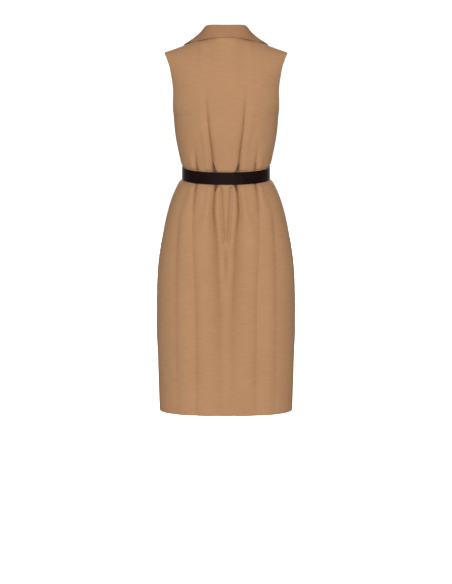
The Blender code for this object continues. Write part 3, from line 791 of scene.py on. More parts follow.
def sew(surface: Surface, finish: Material, thickness: float, node: str) -> Object:
    """Makes a cloth piece: the outer face, with the wall behind it, standing for its node.

    Args:
        surface: The outer face.
        finish: The cloth.
        thickness: The wall.
        node: The plain solid that it stands for.

    Returns:
        The piece.
    """
    piece = surface.build(finish)
    wall = piece.modifiers.new("wall", "SOLIDIFY")
    wall.thickness = thickness
    wall.offset = -1.0
    wall.use_even_offset = False
    wall.use_quality_normals = True
    finish_piece(piece, node)
    return piece


# ---------------- finishes


def linear(code: str) -> tuple[float, float, float, float]:
    """An sRGB hex colour as linear light.

    Args:
        code: Six hex digits.

    Returns:
        Red, green, blue and 1.
    """
    values = np.array([int(code[i : i + 2], 16) for i in (0, 2, 4)]) / 255
    light = np.where(values > 0.04045, ((values + 0.055) / 1.055) ** 2.4, values / 12.92)
    return (*map(float, light), 1.0)


def feed(material: Material, node: Node, **links: object) -> None:
    """Sets or links a node's inputs.

    Args:
        material: The material.
        node: The node.
        links: For each input, with _ for a space or a number after in_, a value or the socket
            that feeds it.
    """
    for name, value in links.items():
        key = int(name[3:]) if name.startswith("in_") else name.replace("_", " ")
        if isinstance(value, NodeSocket):
            material.node_tree.links.new(value, node.inputs[key])
        else:
            node.inputs[key].default_value = value


def add_node(
    material: Material,
    kind: str,
    settings: dict[str, object] | None = None,
    stops: tuple[tuple[float, str], ...] = (),
    output: int | str = 0,
    **links: object,
) -> NodeSocket:
    """Adds a node to a material, with its settings and links.

    Args:
        material: The material.
        kind: The node's type name.
        settings: Its properties by name.
        stops: A colour ramp's places and sRGB hex colours.
        output: The output that is wanted, by place or name.
        links: Its inputs, as feed takes them.

    Returns:
        That output's socket.
    """
    node = material.node_tree.nodes.new(kind)
    for name, value in (settings or {}).items():
        setattr(node, name, value)
    if stops:
        elements = node.color_ramp.elements
        while len(elements) < len(stops):
            elements.new(0.5)
        for element, (place, code) in zip(elements, stops):
            element.position = place
            element.color = linear(code)
    feed(material, node, **links)
    return node.outputs[output]


def new_material(name: str) -> tuple[Material, Node]:
    """A new material and its shader.

    Args:
        name: The material's name.

    Returns:
        The material and its Principled shader.
    """
    material = bpy.data.materials.new(name)
    material.use_nodes = True
    return material, material.node_tree.nodes["Principled BSDF"]


@dataclass(frozen=True)
class SuitingCloth:
    """Camel wool-blend suiting, plain woven with slubbed weft and pressed: matt, with fine
    crosswise streaks and a faint nap."""

    name: str
    base: str = "B48862"
    light_streak: str = "B98D68"
    dark_streak: str = "AD815C"
    slub_long: float = 34 * MM
    slub_tall: float = 1.5 * MM  # real slubs are about 0.8 mm; drawn coarser so that they show
    thread: float = 0.9 * MM  # real threads are about 0.45 mm; drawn coarser so that they show
    dye_patch: float = 90 * MM
    dye_change: float = 0.025
    relief: float = 0.12 * MM
    roughness: float = 0.86
    specular: float = 0.25
    sheen: float = 0.10
    nap: str = "E8D2BA"
    nap_roughness: float = 0.45

    def material(self) -> Material:
        """Builds the material.

        Noise stretched along the weft gives the slubs, two wave patterns across each other the
        weave, and slow noise the uneven dye. A wave at scale 1 repeats every pi / 10.

        Returns:
            The material.
        """
        made, shader = new_material(self.name)
        place = add_node(made, "ShaderNodeUVMap", {"uv_map": "cloth_metres"})
        slub_scale = (1 / self.slub_long, 1 / self.slub_tall, 1.0)
        slub_place = add_node(made, "ShaderNodeMapping", Vector=place, Scale=slub_scale)
        slubs = add_node(
            made,
            "ShaderNodeTexNoise",
            Vector=slub_place,
            Scale=1.0,
            Detail=3.0,
            Roughness=0.55,
            Distortion=0.15,
        )
        stops = ((0.28, self.dark_streak), (0.5, self.base), (0.72, self.light_streak))
        streaks = add_node(made, "ShaderNodeValToRGB", stops=stops, Fac=slubs)
        dye = add_node(
            made, "ShaderNodeTexNoise", Vector=place, Scale=1 / self.dye_patch, Detail=2.0
        )
        shade = add_node(
            made,
            "ShaderNodeMapRange",
            Value=dye,
            From_Min=0.3,
            From_Max=0.7,
            To_Min=1 - self.dye_change,
            To_Max=1 + self.dye_change,
        )
        scale, multiply, add = ({"operation": name} for name in ("SCALE", "MULTIPLY", "ADD"))
        colour = add_node(made, "ShaderNodeVectorMath", scale, in_0=streaks, Scale=shade)
        waves = [
            add_node(
                made,
                "ShaderNodeTexWave",
                {"wave_type": "BANDS", "bands_direction": direction, "wave_profile": "SIN"},
                output="Fac",
                Vector=place,
                Scale=math.pi / 10 / self.thread,
                Distortion=0.6,
            )
            for direction in "XY"
        ]
        weave = add_node(made, "ShaderNodeMath", multiply, in_0=waves[0], in_1=waves[1])
        height = add_node(made, "ShaderNodeMath", add, in_0=weave, in_1=slubs)
        bump = add_node(made, "ShaderNodeBump", Height=height, Strength=0.25, Distance=self.relief)
        feed(made, shader, Base_Color=colour, Normal=bump, Roughness=self.roughness)
        feed(made, shader, Specular_IOR_Level=self.specular, Sheen_Weight=self.sheen)
        feed(made, shader, Sheen_Roughness=self.nap_roughness, Sheen_Tint=linear(self.nap))
        return made


@dataclass(frozen=True)
class BeltLeather:
    """Dark brown calf leather, plated smooth and waxed: nearly black, with a pale shine where
    it turns away from the eye."""

    name: str
    base: str = "140807"
    worn: str = "1C0D0C"
    grain: float = 1.1 * MM  # real pores are about 0.4 mm; drawn coarser so that they show
    cloud: float = 20 * MM
    relief: float = 0.1 * MM
    smoothest: float = 0.42
    roughest: float = 0.55
    specular: float = 0.05
    sheen: float = 0.35
    sheen_roughness: float = 0.3

    def material(self) -> Material:
        """Builds the material: fine cells for the grain, slow noise for handling.

        Returns:
            The material.
        """
        made, shader = new_material(self.name)
        place = add_node(made, "ShaderNodeUVMap", {"uv_map": "cloth_metres"})
        cells = add_node(made, "ShaderNodeTexVoronoi", Vector=place, Scale=1 / self.grain)
        cloud = add_node(made, "ShaderNodeTexNoise", Vector=place, Scale=1 / self.cloud, Detail=4.0)
        stops = ((0.35, self.base), (0.7, self.worn))
        colour = add_node(made, "ShaderNodeValToRGB", stops=stops, Fac=cloud)
        ends = {"To_Min": self.smoothest, "To_Max": self.roughest}
        rough = add_node(made, "ShaderNodeMapRange", Value=cloud, **ends)
        bump = add_node(made, "ShaderNodeBump", Height=cells, Strength=0.2, Distance=self.relief)
        feed(made, shader, Base_Color=colour, Roughness=rough, Normal=bump)
        feed(made, shader, Specular_IOR_Level=self.specular, Sheen_Weight=self.sheen)
        feed(made, shader, Sheen_Roughness=self.sheen_roughness)
        return made


@dataclass(frozen=True)
class BuckleMetal:
    """Zinc alloy, cast, brushed and dark plated: grey-brown metal with fine lines."""

    name: str
    base: str = "67615A"
    scratch: float = 0.5 * MM
    scratch_long: float = 12.5 * MM
    relief: float = 0.05 * MM
    smoothest: float = 0.24
    roughest: float = 0.42

    def material(self) -> Material:
        """Builds the material: noise stretched one way for the brushing.

        Returns:
            The material.
        """
        made, shader = new_material(self.name)
        place = add_node(made, "ShaderNodeTexCoord", output="Object")
        fine = 1 / self.scratch
        stretched = add_node(
            made, "ShaderNodeMapping", Vector=place, Scale=(fine, fine, 1 / self.scratch_long)
        )
        lines = add_node(made, "ShaderNodeTexNoise", Vector=stretched, Scale=1.0, Detail=3.0)
        ends = {"To_Min": self.smoothest, "To_Max": self.roughest}
        rough = add_node(made, "ShaderNodeMapRange", Value=lines, **ends)
        bump = add_node(made, "ShaderNodeBump", Height=lines, Strength=0.15, Distance=self.relief)
        feed(made, shader, Base_Color=linear(self.base), Metallic=1.0, Roughness=rough, Normal=bump)
        return made


@dataclass(frozen=True)
class Wardrobe:
    """The finishes that the pieces share."""

    cloth: Material
    # the darker cloth of collar and lapels is painted shade
    collar_cloth: Material
    leather: Material
    metal: Material

    @classmethod
    def make(cls) -> "Wardrobe":
        """Builds every finish once.

        Returns:
            The finishes.
        """
        # collar and lapels take a darker copy of the cloth, which paints shade on them
        painted_shade_cloth = SuitingCloth("camel_wool_suiting_painted_shade", "A57A57", "AA7F5C", "9E7350")
        return cls(
            cloth=SuitingCloth("camel_wool_suiting").material(),
            collar_cloth=painted_shade_cloth.material(),
            leather=BeltLeather("brown_calf_leather").material(),
            metal=BuckleMetal("dark_plated_zinc").material(),
        )


# ---------------- turned cloth edges


@dataclass(frozen=True)
class TurnedSheet:
    """A sheet whose edges are turned over a small fold, as on hems and pressed seams."""

    radius: float = 0.75 * MM
    wall: float = 0.65 * MM
    steps: int = 5
    last_turn: float = 0.94  # share of the half turn at which the fold ends
    eased: float = 6.0  # radii over which the sheet draws in, and that a bend needs for a turn
    least_room: float = 0.25

    @property
    def sunk(self) -> float:
        """How deep below the outer face the turned cloth lies."""
        return self.radius * (1 - math.cos(math.pi * self.last_turn))

    def room(self, points: Array, facing: Array) -> Array:
        """How much of the turn's radius fits inside the sheet's own bends.

        A bend's radius is the step between two points over the turn of the normal between
        them; the whole turn fits from a few times its radius on.

        Args:
            points: The outer face.
            facing: Its normals.

        Returns:
            The share of the radius, 1 at most.
        """
        bends = []
        for axis in (0, 1):
            step = np.linalg.norm(np.gradient(points, axis=axis), axis=-1)
            turn = np.linalg.norm(np.gradient(facing, axis=axis), axis=-1)
            bends.append(step / np.maximum(turn, 1e-6))
        return np.clip(np.minimum(*bends) / (self.eased * self.radius), self.least_room, 1.0)

    def apply(self, points: Array, uv: Array, out: float) -> tuple[Array, Array]:
        """Adds the turned edges all round a grid.

        The edge rows and columns move in by the radius r, and those beside them less and less
        away from the edge. With m the share of the half turn, the added points lie r sin(pi m)
        beyond the edge and r (1 - cos(pi m)) below the face; at a corner m is the larger of the
        two edges' shares and the way out lies between them.

        Args:
            points: The outer face, shaped (rows, columns, 3).
            uv: Its cloth coordinates.
            out: 1 or -1, the sign that turns the grid's normals outwards.

        Returns:
            The widened grid and its cloth coordinates.
        """
        inner = points.copy()
        ways = {}
        for axis, edge, beside in ((1, 0, 2), (1, -1, -3), (0, 0, 2), (0, -1, -3)):
            line = np.moveaxis(inner, axis, 0)
            inwards = unit(line[beside] - line[edge])
            run = np.abs(arc(line, 0) - arc(line, 0)[edge])
            squeeze = np.clip(1 - run / (self.eased * self.radius), 0, 1)
            line += (squeeze * self.radius)[..., None] * inwards
            ways[axis, edge] = inwards
        count = self.steps
        pad = ((count, count), (count, count), (0, 0))
        facing = outwards(inner, out)
        radius = np.pad(self.radius * self.room(inner, facing), pad[:2], mode="edge")
        normal = np.pad(facing, pad, mode="edge")
        share = self.last_turn * np.arange(count, 0, -1) / count
        rows, columns = inner.shape[:2]
        across = np.concatenate((share, np.zeros(columns), share[::-1]))[None, :]
        along = np.concatenate((share, np.zeros(rows), share[::-1]))[:, None]
        ways = {key: np.pad(way, pad[1:], mode="edge") for key, way in ways.items()}
        way_across, way_along = np.zeros_like(normal), np.zeros_like(normal)
        way_across[:, :count], way_across[:, -count:] = ways[1, 0][:, None], ways[1, -1][:, None]
        way_along[:count], way_along[-count:] = ways[0, 0], ways[0, -1]
        most = np.maximum(across, along)
        reach = radius * np.sin(math.pi * most) / (np.hypot(across, along) + TINY)
        shift = (across * reach)[..., None] * way_across + (along * reach)[..., None] * way_along
        sunk = (radius * (1 - np.cos(math.pi * most)))[..., None] * normal
        moved = np.pad(inner, pad, mode="edge") - shift - sunk
        wide = np.pad(uv, pad, mode="edge")
        turned = math.pi * self.radius
        wide[..., 0] += np.where(np.arange(wide.shape[1]) < count, -1, 1) * across * turned
        wide[..., 1] += np.where(np.arange(wide.shape[0]) < count, -1, 1)[:, None] * along * turned
        return moved, wide


DOUBLED = TurnedSheet(radius=1.0 * MM, wall=0.9 * MM)  # collar and lapels, two layers pressed


# ---------------- back and fronts


LOWER_BANDS = table(
    "low high rows",
    (-1.062, -0.60, 72),
    (-0.60, -0.45, 40),
    (-0.45, -0.412, 18),
    (-0.412, -0.394, 14),
    (-0.394, -0.363, 5),
    (-0.363, -0.345, 14),
    (-0.345, -0.30, 18),
    (-0.30, -0.215, 22),
)


def lower_heights() -> Array:
    """Heights of the rows from the hem to the underarm, even within each band.

    Returns:
        The heights.
    """
    parts = [LOWER_BANDS["low"][:1]]
    for low, high, rows in zip(*LOWER_BANDS.values()):
        parts.append(np.linspace(low, high, int(rows) + 1)[1:])
    return np.concatenate(parts)


@dataclass(frozen=True)
class BodyPanel:
    """What the back and the fronts share: level rows up to the underarm, and above it rows
    from the armhole inwards that end in the shoulder seam."""

    form: WornForm
    finish: Material
    upper_rows: int = 48
    pull: float = 0.72
    edge: TurnedSheet = TurnedSheet()
    turn_up: float = 32 * MM
    turn_up_rows: int = 9
    allowance: float = 9 * MM
    allowance_columns: int = 7
    allowance_reach: int = 9  # columns of the panel that the allowance may lie under
    above_turn_up: float = 1 * MM  # the allowance starts this far above the turned-up hem
    rows_left_open: int = 5  # and ends this many rows below the shoulder seam

    def sheet_xz(self) -> tuple[Array, Array]:
        """Places across and heights of the whole grid."""
        raise NotImplementedError

    def place(self, x: Array, z: Array, inset: Array) -> Array:
        """Points of the cloth at (x, z), an extra distance inwards."""
        raise NotImplementedError

    def hem_strip(self, x: Array, fold: Array) -> Array:
        """The turned-up hem, lying inside the panel.

        Args:
            x: The hem row's places across.
            fold: The last row of the turned edge, from which the strip goes on.

        Returns:
            A grid from the fold up to the strip's raw edge.
        """
        z = self.form.hem_z + np.linspace(self.edge.radius, self.turn_up, self.turn_up_rows)
        ratio = self.form.width(z, Half.BACK) / self.form.width(z[:1], Half.BACK)
        grid_x = x[None] * ratio[:, None]
        grid_z = np.broadcast_to(z[:, None], grid_x.shape)
        inside = self.place(grid_x, grid_z, np.full_like(grid_x, self.edge.sunk))
        return np.concatenate((fold[None], inside))

    def side_strip(self, x: Array, z: Array, face: Array, fold: Array) -> Array:
        """The seam allowance along a side edge, pressed back inside the panel.

        The places run from the edge towards a column some way in, by the square of their
        share, because the oval turns sharply at the side.

        Args:
            x: Places across of the grid's columns beside the edge, the edge's first.
            z: Their heights.
            face: Their points on the outer face.
            fold: The turned edge's last column, from which the strip goes on.

        Returns:
            A grid from the fold to the allowance's raw edge.
        """
        run = arc(face, 1)[:, -1:]
        share = (np.linspace(0, 1, self.allowance_columns)[None] * self.allowance / run) ** 2
        share = np.maximum(share, 1e-5)
        grid_x = x[:, :1] + (x[:, -1:] - x[:, :1]) * share
        grid_z = z[:, :1] + (z[:, -1:] - z[:, :1]) * share
        inside = self.place(grid_x, grid_z, np.full_like(grid_x, self.edge.sunk))
        return np.concatenate((fold[:, None], inside[:, 1:]), axis=1)

    def surfaces(self, name: str, sides: tuple[int, ...], mirror: int, out: float) -> Surface:
        """The panel with its turned edges, hem and allowances as one mesh.

        Args:
            name: The piece's name.
            sides: The grid's side edges that are sewn at the side: 0 first, -1 last column.
            mirror: -1 puts the panel on the other side of the centre.
            out: The sign that turns the unmirrored grid's normals outwards.

        Returns:
            The surface.
        """
        x, z = self.sheet_xz()
        face = self.place(x, z, np.zeros_like(x))
        up = arc(face, 0)
        level = -1 - self.upper_rows
        up[level:] += up[level].mean() - up[level]
        up[:level] = up[:level].mean(axis=1, keepdims=True)
        uv = np.stack((arc(face, 1), up), axis=-1)
        uv[..., 0] -= uv[:, [x.shape[1] // 2], 0]
        points, wide_uv = self.edge.apply(face, uv, out)
        count = self.edge.steps
        parts = [(points, wide_uv, False)]
        hem = self.hem_strip(x[0], points[0, count:-count])
        hem_uv = np.stack((np.broadcast_to(uv[0, :, 0], hem.shape[:2]), -arc(hem, 0)), axis=-1)
        parts.append((hem, hem_uv, True))
        above = np.searchsorted(z[:, 0], self.form.hem_z + self.turn_up + self.above_turn_up)
        rows = slice(above, -self.rows_left_open)
        beside = np.arange(self.allowance_reach)
        for side in sides:
            columns = beside if side == 0 else -1 - beside
            fold = points[count:-count][rows, side]
            strip = self.side_strip(x[rows, columns], z[rows, columns], face[rows, columns], fold)
            start = uv[rows, [side]]
            strip_uv = start + np.stack((arc(strip, 1), np.zeros(strip.shape[:2])), axis=-1)
            parts.append((strip, strip_uv, side == 0))
        made = []
        for grid, coordinates, inwards in parts:
            grid = grid * np.array([mirror, 1, 1])
            flip = (out * mirror < 0) != inwards
            made.append(Surface.grid(name, grid, coordinates, flip))
        return Surface.joined(name, made)


BACK_INNER_FOLD = table(
    "z x depth crisp",
    (-1.062, 0.0212, 0.0060, 0.0),
    (-0.960, 0.0214, 0.0086, 0.0),
    (-0.820, 0.0220, 0.0160, 0.0),
    (-0.710, 0.0256, 0.0188, 0.0),
    (-0.634, 0.0292, 0.0196, 0.0),
    (-0.571, 0.0304, 0.0190, 0.0),
    (-0.535, 0.0326, 0.0182, 0.2),
    (-0.505, 0.0364, 0.0176, 0.6),
    (-0.475, 0.0388, 0.0170, 0.9),
    (-0.428, 0.0362, 0.0156, 1.0),
    (-0.398, 0.0340, 0.0132, 1.0),
    (-0.358, 0.0395, 0.0122, 1.0),
    (-0.335, 0.0405, 0.0112, 1.0),
    (-0.312, 0.0426, 0.0100, 1.0),
    (-0.289, 0.0452, 0.0088, 1.0),
    (-0.252, 0.0500, 0.0068, 0.9),
    (-0.215, 0.0530, 0.0050, 0.8),
    (-0.178, 0.0548, 0.0036, 0.6),
    (-0.155, 0.0556, 0.0020, 0.3),
    (-0.120, 0.0562, 0.0, 0.0),
)
BACK_OUTER_FOLD = table(
    "z x depth crisp",
    (-1.062, 0.0880, 0.0060, 0.0),
    (-0.900, 0.0890, 0.0104, 0.0),
    (-0.745, 0.0897, 0.0106, 0.0),
    (-0.680, 0.0905, 0.0084, 0.0),
    (-0.620, 0.0925, 0.0054, 0.0),
    (-0.560, 0.0950, 0.0034, 0.0),
    (-0.516, 0.0970, 0.0036, 0.15),
    (-0.463, 0.0955, 0.0062, 0.7),
    (-0.420, 0.0918, 0.0078, 1.0),
    (-0.398, 0.0890, 0.0084, 1.0),
    (-0.358, 0.0872, 0.0082, 1.0),
    (-0.335, 0.0886, 0.0050, 0.8),
    (-0.306, 0.0898, 0.0018, 0.3),
    (-0.270, 0.0905, 0.0, 0.0),
)
BACK_SIDE_FOLD = table(
    "z x depth crisp",
    (-1.062, 0.1400, 0.0022, 0.0),
    (-0.900, 0.1430, 0.0036, 0.0),
    (-0.745, 0.1445, 0.0042, 0.0),
    (-0.631, 0.1430, 0.0042, 0.0),
    (-0.532, 0.1375, 0.0034, 0.0),
    (-0.475, 0.1310, 0.0014, 0.0),
    (-0.420, 0.1170, 0.0, 0.0),
)


@dataclass(frozen=True)
class BackPanel(BodyPanel):
    """The back, cut in one from hem to shoulder and neck."""

    columns: tuple[int, ...] = (13, 14, 24, 28)
    flat: tuple[float, float] = (0.53, 1.10)
    flat_area: float = 0.51

    def relief(self) -> BackRelief:
        """The back's folds on one side, from the centre outwards.

        Returns:
            The relief.
        """
        inner = Fold(BACK_INNER_FOLD, slope=8.0 * MM, softening=1.8, power=1.05)
        outer = Fold(
            BACK_OUTER_FOLD, pinch=10 * MM, wedge=4.6 * MM, crease=2 * MM, lap=1.6 * MM, power=1.25
        )
        side = Fold(
            BACK_SIDE_FOLD, steep=5.5 * MM, slope=8.5 * MM, ridge_share=0, pinch=0, crease=0, lap=0
        )
        return BackRelief(self.form, Half.BACK, (inner, outer, side))

    def shares(self, z: Array) -> Array:
        """Column places across the back from 1 to -1, even in the angle round the oval and
        crowded at the folds.

        With n the oval's exponent, the share is sin(angle)^(2/n) over its value at the edge.

        Args:
            z: Heights.

        Returns:
            Shares of the panel's half-breadth, one row for each height.
        """
        n = self.form.squareness
        full = self.form.fullness(z, Half.BACK)
        knots = [np.arcsin((1 / full) ** (n / 2))]
        for fold in self.relief().folds[::-1]:
            share = fold.share(z, self.form.width(z, Half.BACK))
            knots.append(np.arcsin((share / full) ** (n / 2)))
        knots.append(np.zeros_like(z))
        angle = between(knots, self.columns, self.pull)
        half = np.sin(angle) ** (2 / n) * full[:, None]
        return np.concatenate((half, -half[:, -2::-1]), axis=1)

    def sheet_xz(self) -> tuple[Array, Array]:
        """Level rows, then rows from armhole to armhole that end in the shoulder seams and the
        neck seam: with v the share of the rows, a row's height grows by 3v^2 - 2v^3 at the
        armhole and by sin(pi v / 2) at the centre.

        Returns:
            Places across and heights.
        """
        form, half = self.form, Half.BACK
        low_z = lower_heights()
        low_x = self.shares(low_z) * form.width(low_z, half)[:, None]
        v = np.arange(1, self.upper_rows + 1) / self.upper_rows
        at_armhole, at_centre = ease(v)[:, None], np.sin(math.pi * v / 2)[:, None]
        arm_z = form.underarm_z + (form.tip_z - form.underarm_z) * at_armhole[:, 0]
        share = self.shares(arm_z)
        x = share * form.width(arm_z, half)[:, None]
        rise = at_centre + (at_armhole - at_centre) * np.abs(share) ** 3
        z = form.underarm_z + (form.top_z(x, half) - form.underarm_z) * rise
        low_z = np.broadcast_to(low_z[:, None], low_x.shape)
        return np.concatenate((low_x, x)), np.concatenate((low_z, z))

    def place(self, x: Array, z: Array, inset: Array) -> Array:
        """Points of the back at (x, z), an extra distance inwards."""
        return self.relief().points(x, z, inset)

    def build(self) -> None:
        """Builds the back."""
        made = self.surfaces("dress_back", (0, -1), 1, 1.0)
        piece = sew(made, self.finish, self.edge.wall, "back_panel")


@dataclass(frozen=True)
class FrontPanel(BodyPanel):
    """One front, from its side seam to its edge. The right one laps over the left one."""

    side: Side = Side.LEFT
    columns: tuple[int, ...] = (24, 26, 36)
    overlap_share: float = 0.263
    break_z: float = -0.335
    gorge_z: float = -0.045
    underlap_x: float = 0.085
    underlap_blend: float = 0.03
    underlap_rise: float = 0.09
    underlap: float = 2.9 * MM
    right_depth: float = 1.12  # depth of the right front's folds, to the left one's
    left_drift: float = 2.4 * MM  # how far the folds wander from their table
    right_drift: float = -1.6 * MM
    evened: float = 0.6  # how far the columns even out towards the shoulder, as a share
    probe: float = 0.4 * MM
    seed: int = 11
    flat: tuple[float, float] = (0.33, 1.08)
    flat_area: float = 0.285

    @property
    def under(self) -> bool:
        """Whether this front lies under the other one."""
        return self.side is Side.LEFT

    def relief(self) -> Relief:
        """The front's folds; the two fronts differ a little.

        Returns:
            The relief.
        """
        more = 1.0 if self.under else self.right_depth
        drift = self.left_drift if self.under else self.right_drift
        inner = Fold(
            table(
                "z x depth crisp",
                (-1.062, 0.0800 + 2 * drift, 0.0024 * more, 0.0),
                (-0.900, 0.0805 + 2 * drift, 0.0030 * more, 0.0),
                (-0.745, 0.0800 + drift, 0.0038 * more, 0.1),
                (-0.631, 0.0770 + drift, 0.0046 * more, 0.3),
                (-0.532, 0.0705, 0.0060 * more, 0.7),
                (-0.475, 0.0650, 0.0076, 0.9),
                (-0.432, 0.0590, 0.0088, 1.0),
                (-0.398, 0.0525, 0.0092, 1.0),
                (-0.358, 0.0520, 0.0092, 1.0),
                (-0.330, 0.0568, 0.0066, 0.9),
                (-0.289, 0.0620, 0.0032, 0.5),
                (-0.240, 0.0665, 0.0008, 0.1),
                (-0.200, 0.0690, 0.0, 0.0),
            ),
            pinch=7 * MM, wedge=4.2 * MM, crease=2.2 * MM, lap=3 * MM,
        )
        outer = Fold(
            table(
                "z x depth crisp",
                (-1.062, 0.1415 - drift, 0.0026, 0.0),
                (-0.900, 0.1450 - drift, 0.0032, 0.0),
                (-0.745, 0.1460, 0.0036 / more, 0.0),
                (-0.631, 0.1410, 0.0034 / more, 0.1),
                (-0.532, 0.1275, 0.0036, 0.3),
                (-0.475, 0.1165, 0.0050, 0.7),
                (-0.432, 0.1040, 0.0070, 0.9),
                (-0.398, 0.0890, 0.0080, 1.0),
                (-0.358, 0.0880, 0.0080, 1.0),
                (-0.330, 0.0935, 0.0042, 0.6),
                (-0.289, 0.0985, 0.0010, 0.2),
                (-0.240, 0.1020, 0.0, 0.0),
            ),
            pinch=5 * MM, wedge=3 * MM, crease=1.8 * MM, lap=2.2 * MM,
        )
        return Relief(self.form, Half.FRONT, (inner, outer), seed=self.seed + self.side.value)

    def edge_x(self, z: Array) -> Array:
        """The front's edge: straight up to the break, then a smooth curve, the roll line.

        Args:
            z: Heights.

        Returns:
            Its places across, with x towards the front's own side.
        """
        roll = table(
            "z x",
            (self.break_z, -0.0349),
            (-0.190, 0.0141),
            (self.gorge_z, 0.0630),
            (-0.020, 0.0705),
            (self.form.neck_z, self.form.neck_x),
        )
        straight = -self.overlap_share * self.form.width(z, Half.FRONT)
        return np.where(z > self.break_z, smooth(z, roll["z"], roll["x"]), straight)

    def tucked(self, x: Array, z: Array) -> Array:
        """How far this front lies inwards, where the other one covers it.

        It is the underlap, eased in across and out above the underarm.

        Args:
            x: Places across.
            z: Heights.

        Returns:
            Distances inwards.
        """
        if not self.under:
            return np.zeros_like(x)
        below = 1 - ease((z - self.form.underarm_z) / self.underlap_rise)
        return self.underlap * ease((self.underlap_x - x) / self.underlap_blend) * below

    def place(self, x: Array, z: Array, inset: Array) -> Array:
        """Points of the front with x towards its own side, before mirroring."""
        return self.relief().points(x, z, self.tucked(x, z) + inset)

    def sheet_xz(self) -> tuple[Array, Array]:
        """Level rows from the side seam to the edge, even in the angle round the oval; above
        the underarm rows from the armhole to the roll line, which end in the shoulder seam.

        Returns:
            Places across and heights.
        """
        form, half = self.form, Half.FRONT
        n = form.squareness
        low_z = lower_heights()
        width = form.width(low_z, half)
        share = self.edge_x(low_z) / width
        knots = [np.full_like(low_z, math.pi / 2)]
        for fold in self.relief().folds[::-1]:
            knots.append(np.arcsin(fold.share(low_z, width) ** (n / 2)))
        knots.append(np.sign(share) * np.arcsin(np.abs(share) ** (n / 2)))
        sine = np.sin(between(knots, self.columns, self.pull))
        low_x = np.sign(sine) * np.abs(sine) ** (2 / n) * width[:, None]
        v = np.arange(1, self.upper_rows + 1) / self.upper_rows
        at_armhole, at_edge = ease(v)[:, None], np.sin(math.pi * v / 2)[:, None]
        arm_z = form.underarm_z + (form.tip_z - form.underarm_z) * at_armhole
        arm_x = form.width(arm_z, half)
        edge_x = self.edge_x(form.underarm_z + (form.neck_z - form.underarm_z) * at_edge)
        start = ((low_x[-1, 0] - low_x[-1]) / (low_x[-1, 0] - low_x[-1, -1]))[None]
        even = np.linspace(0, 1, start.size)[None]
        to_edge = start + (even - start) * self.evened * at_armhole
        x = arm_x + (edge_x - arm_x) * to_edge
        rise = at_armhole + (at_edge - at_armhole) * to_edge
        z = form.underarm_z + (form.top_z(x, half) - form.underarm_z) * rise
        low_z = np.broadcast_to(low_z[:, None], low_x.shape)
        return np.concatenate((low_x, x)), np.concatenate((low_z, z))

    def outer_frame(self, x: Array, z: Array) -> tuple[Array, Array]:
        """Points on this front's outer face and the directions outwards there.

        The direction is the cross product of the steps to points a little to either side.

        Args:
            x: Places across.
            z: Heights.

        Returns:
            The points and the directions.
        """
        small = self.probe
        none = np.zeros_like(x)
        across = self.place(x + small, z, none) - self.place(x - small, z, none)
        up = self.place(x, z + small, none) - self.place(x, z - small, none)
        return self.place(x, z, none), unit(np.cross(across, up))

    def build(self) -> None:
        """Builds the front."""
        side = self.side.name.lower()
        made = self.surfaces(f"dress_front_{side}", (0,), self.side.value, -1.0)
        piece = sew(made, self.finish, self.edge.wall, f"front_{side}")


# ---------------- lapels and collar


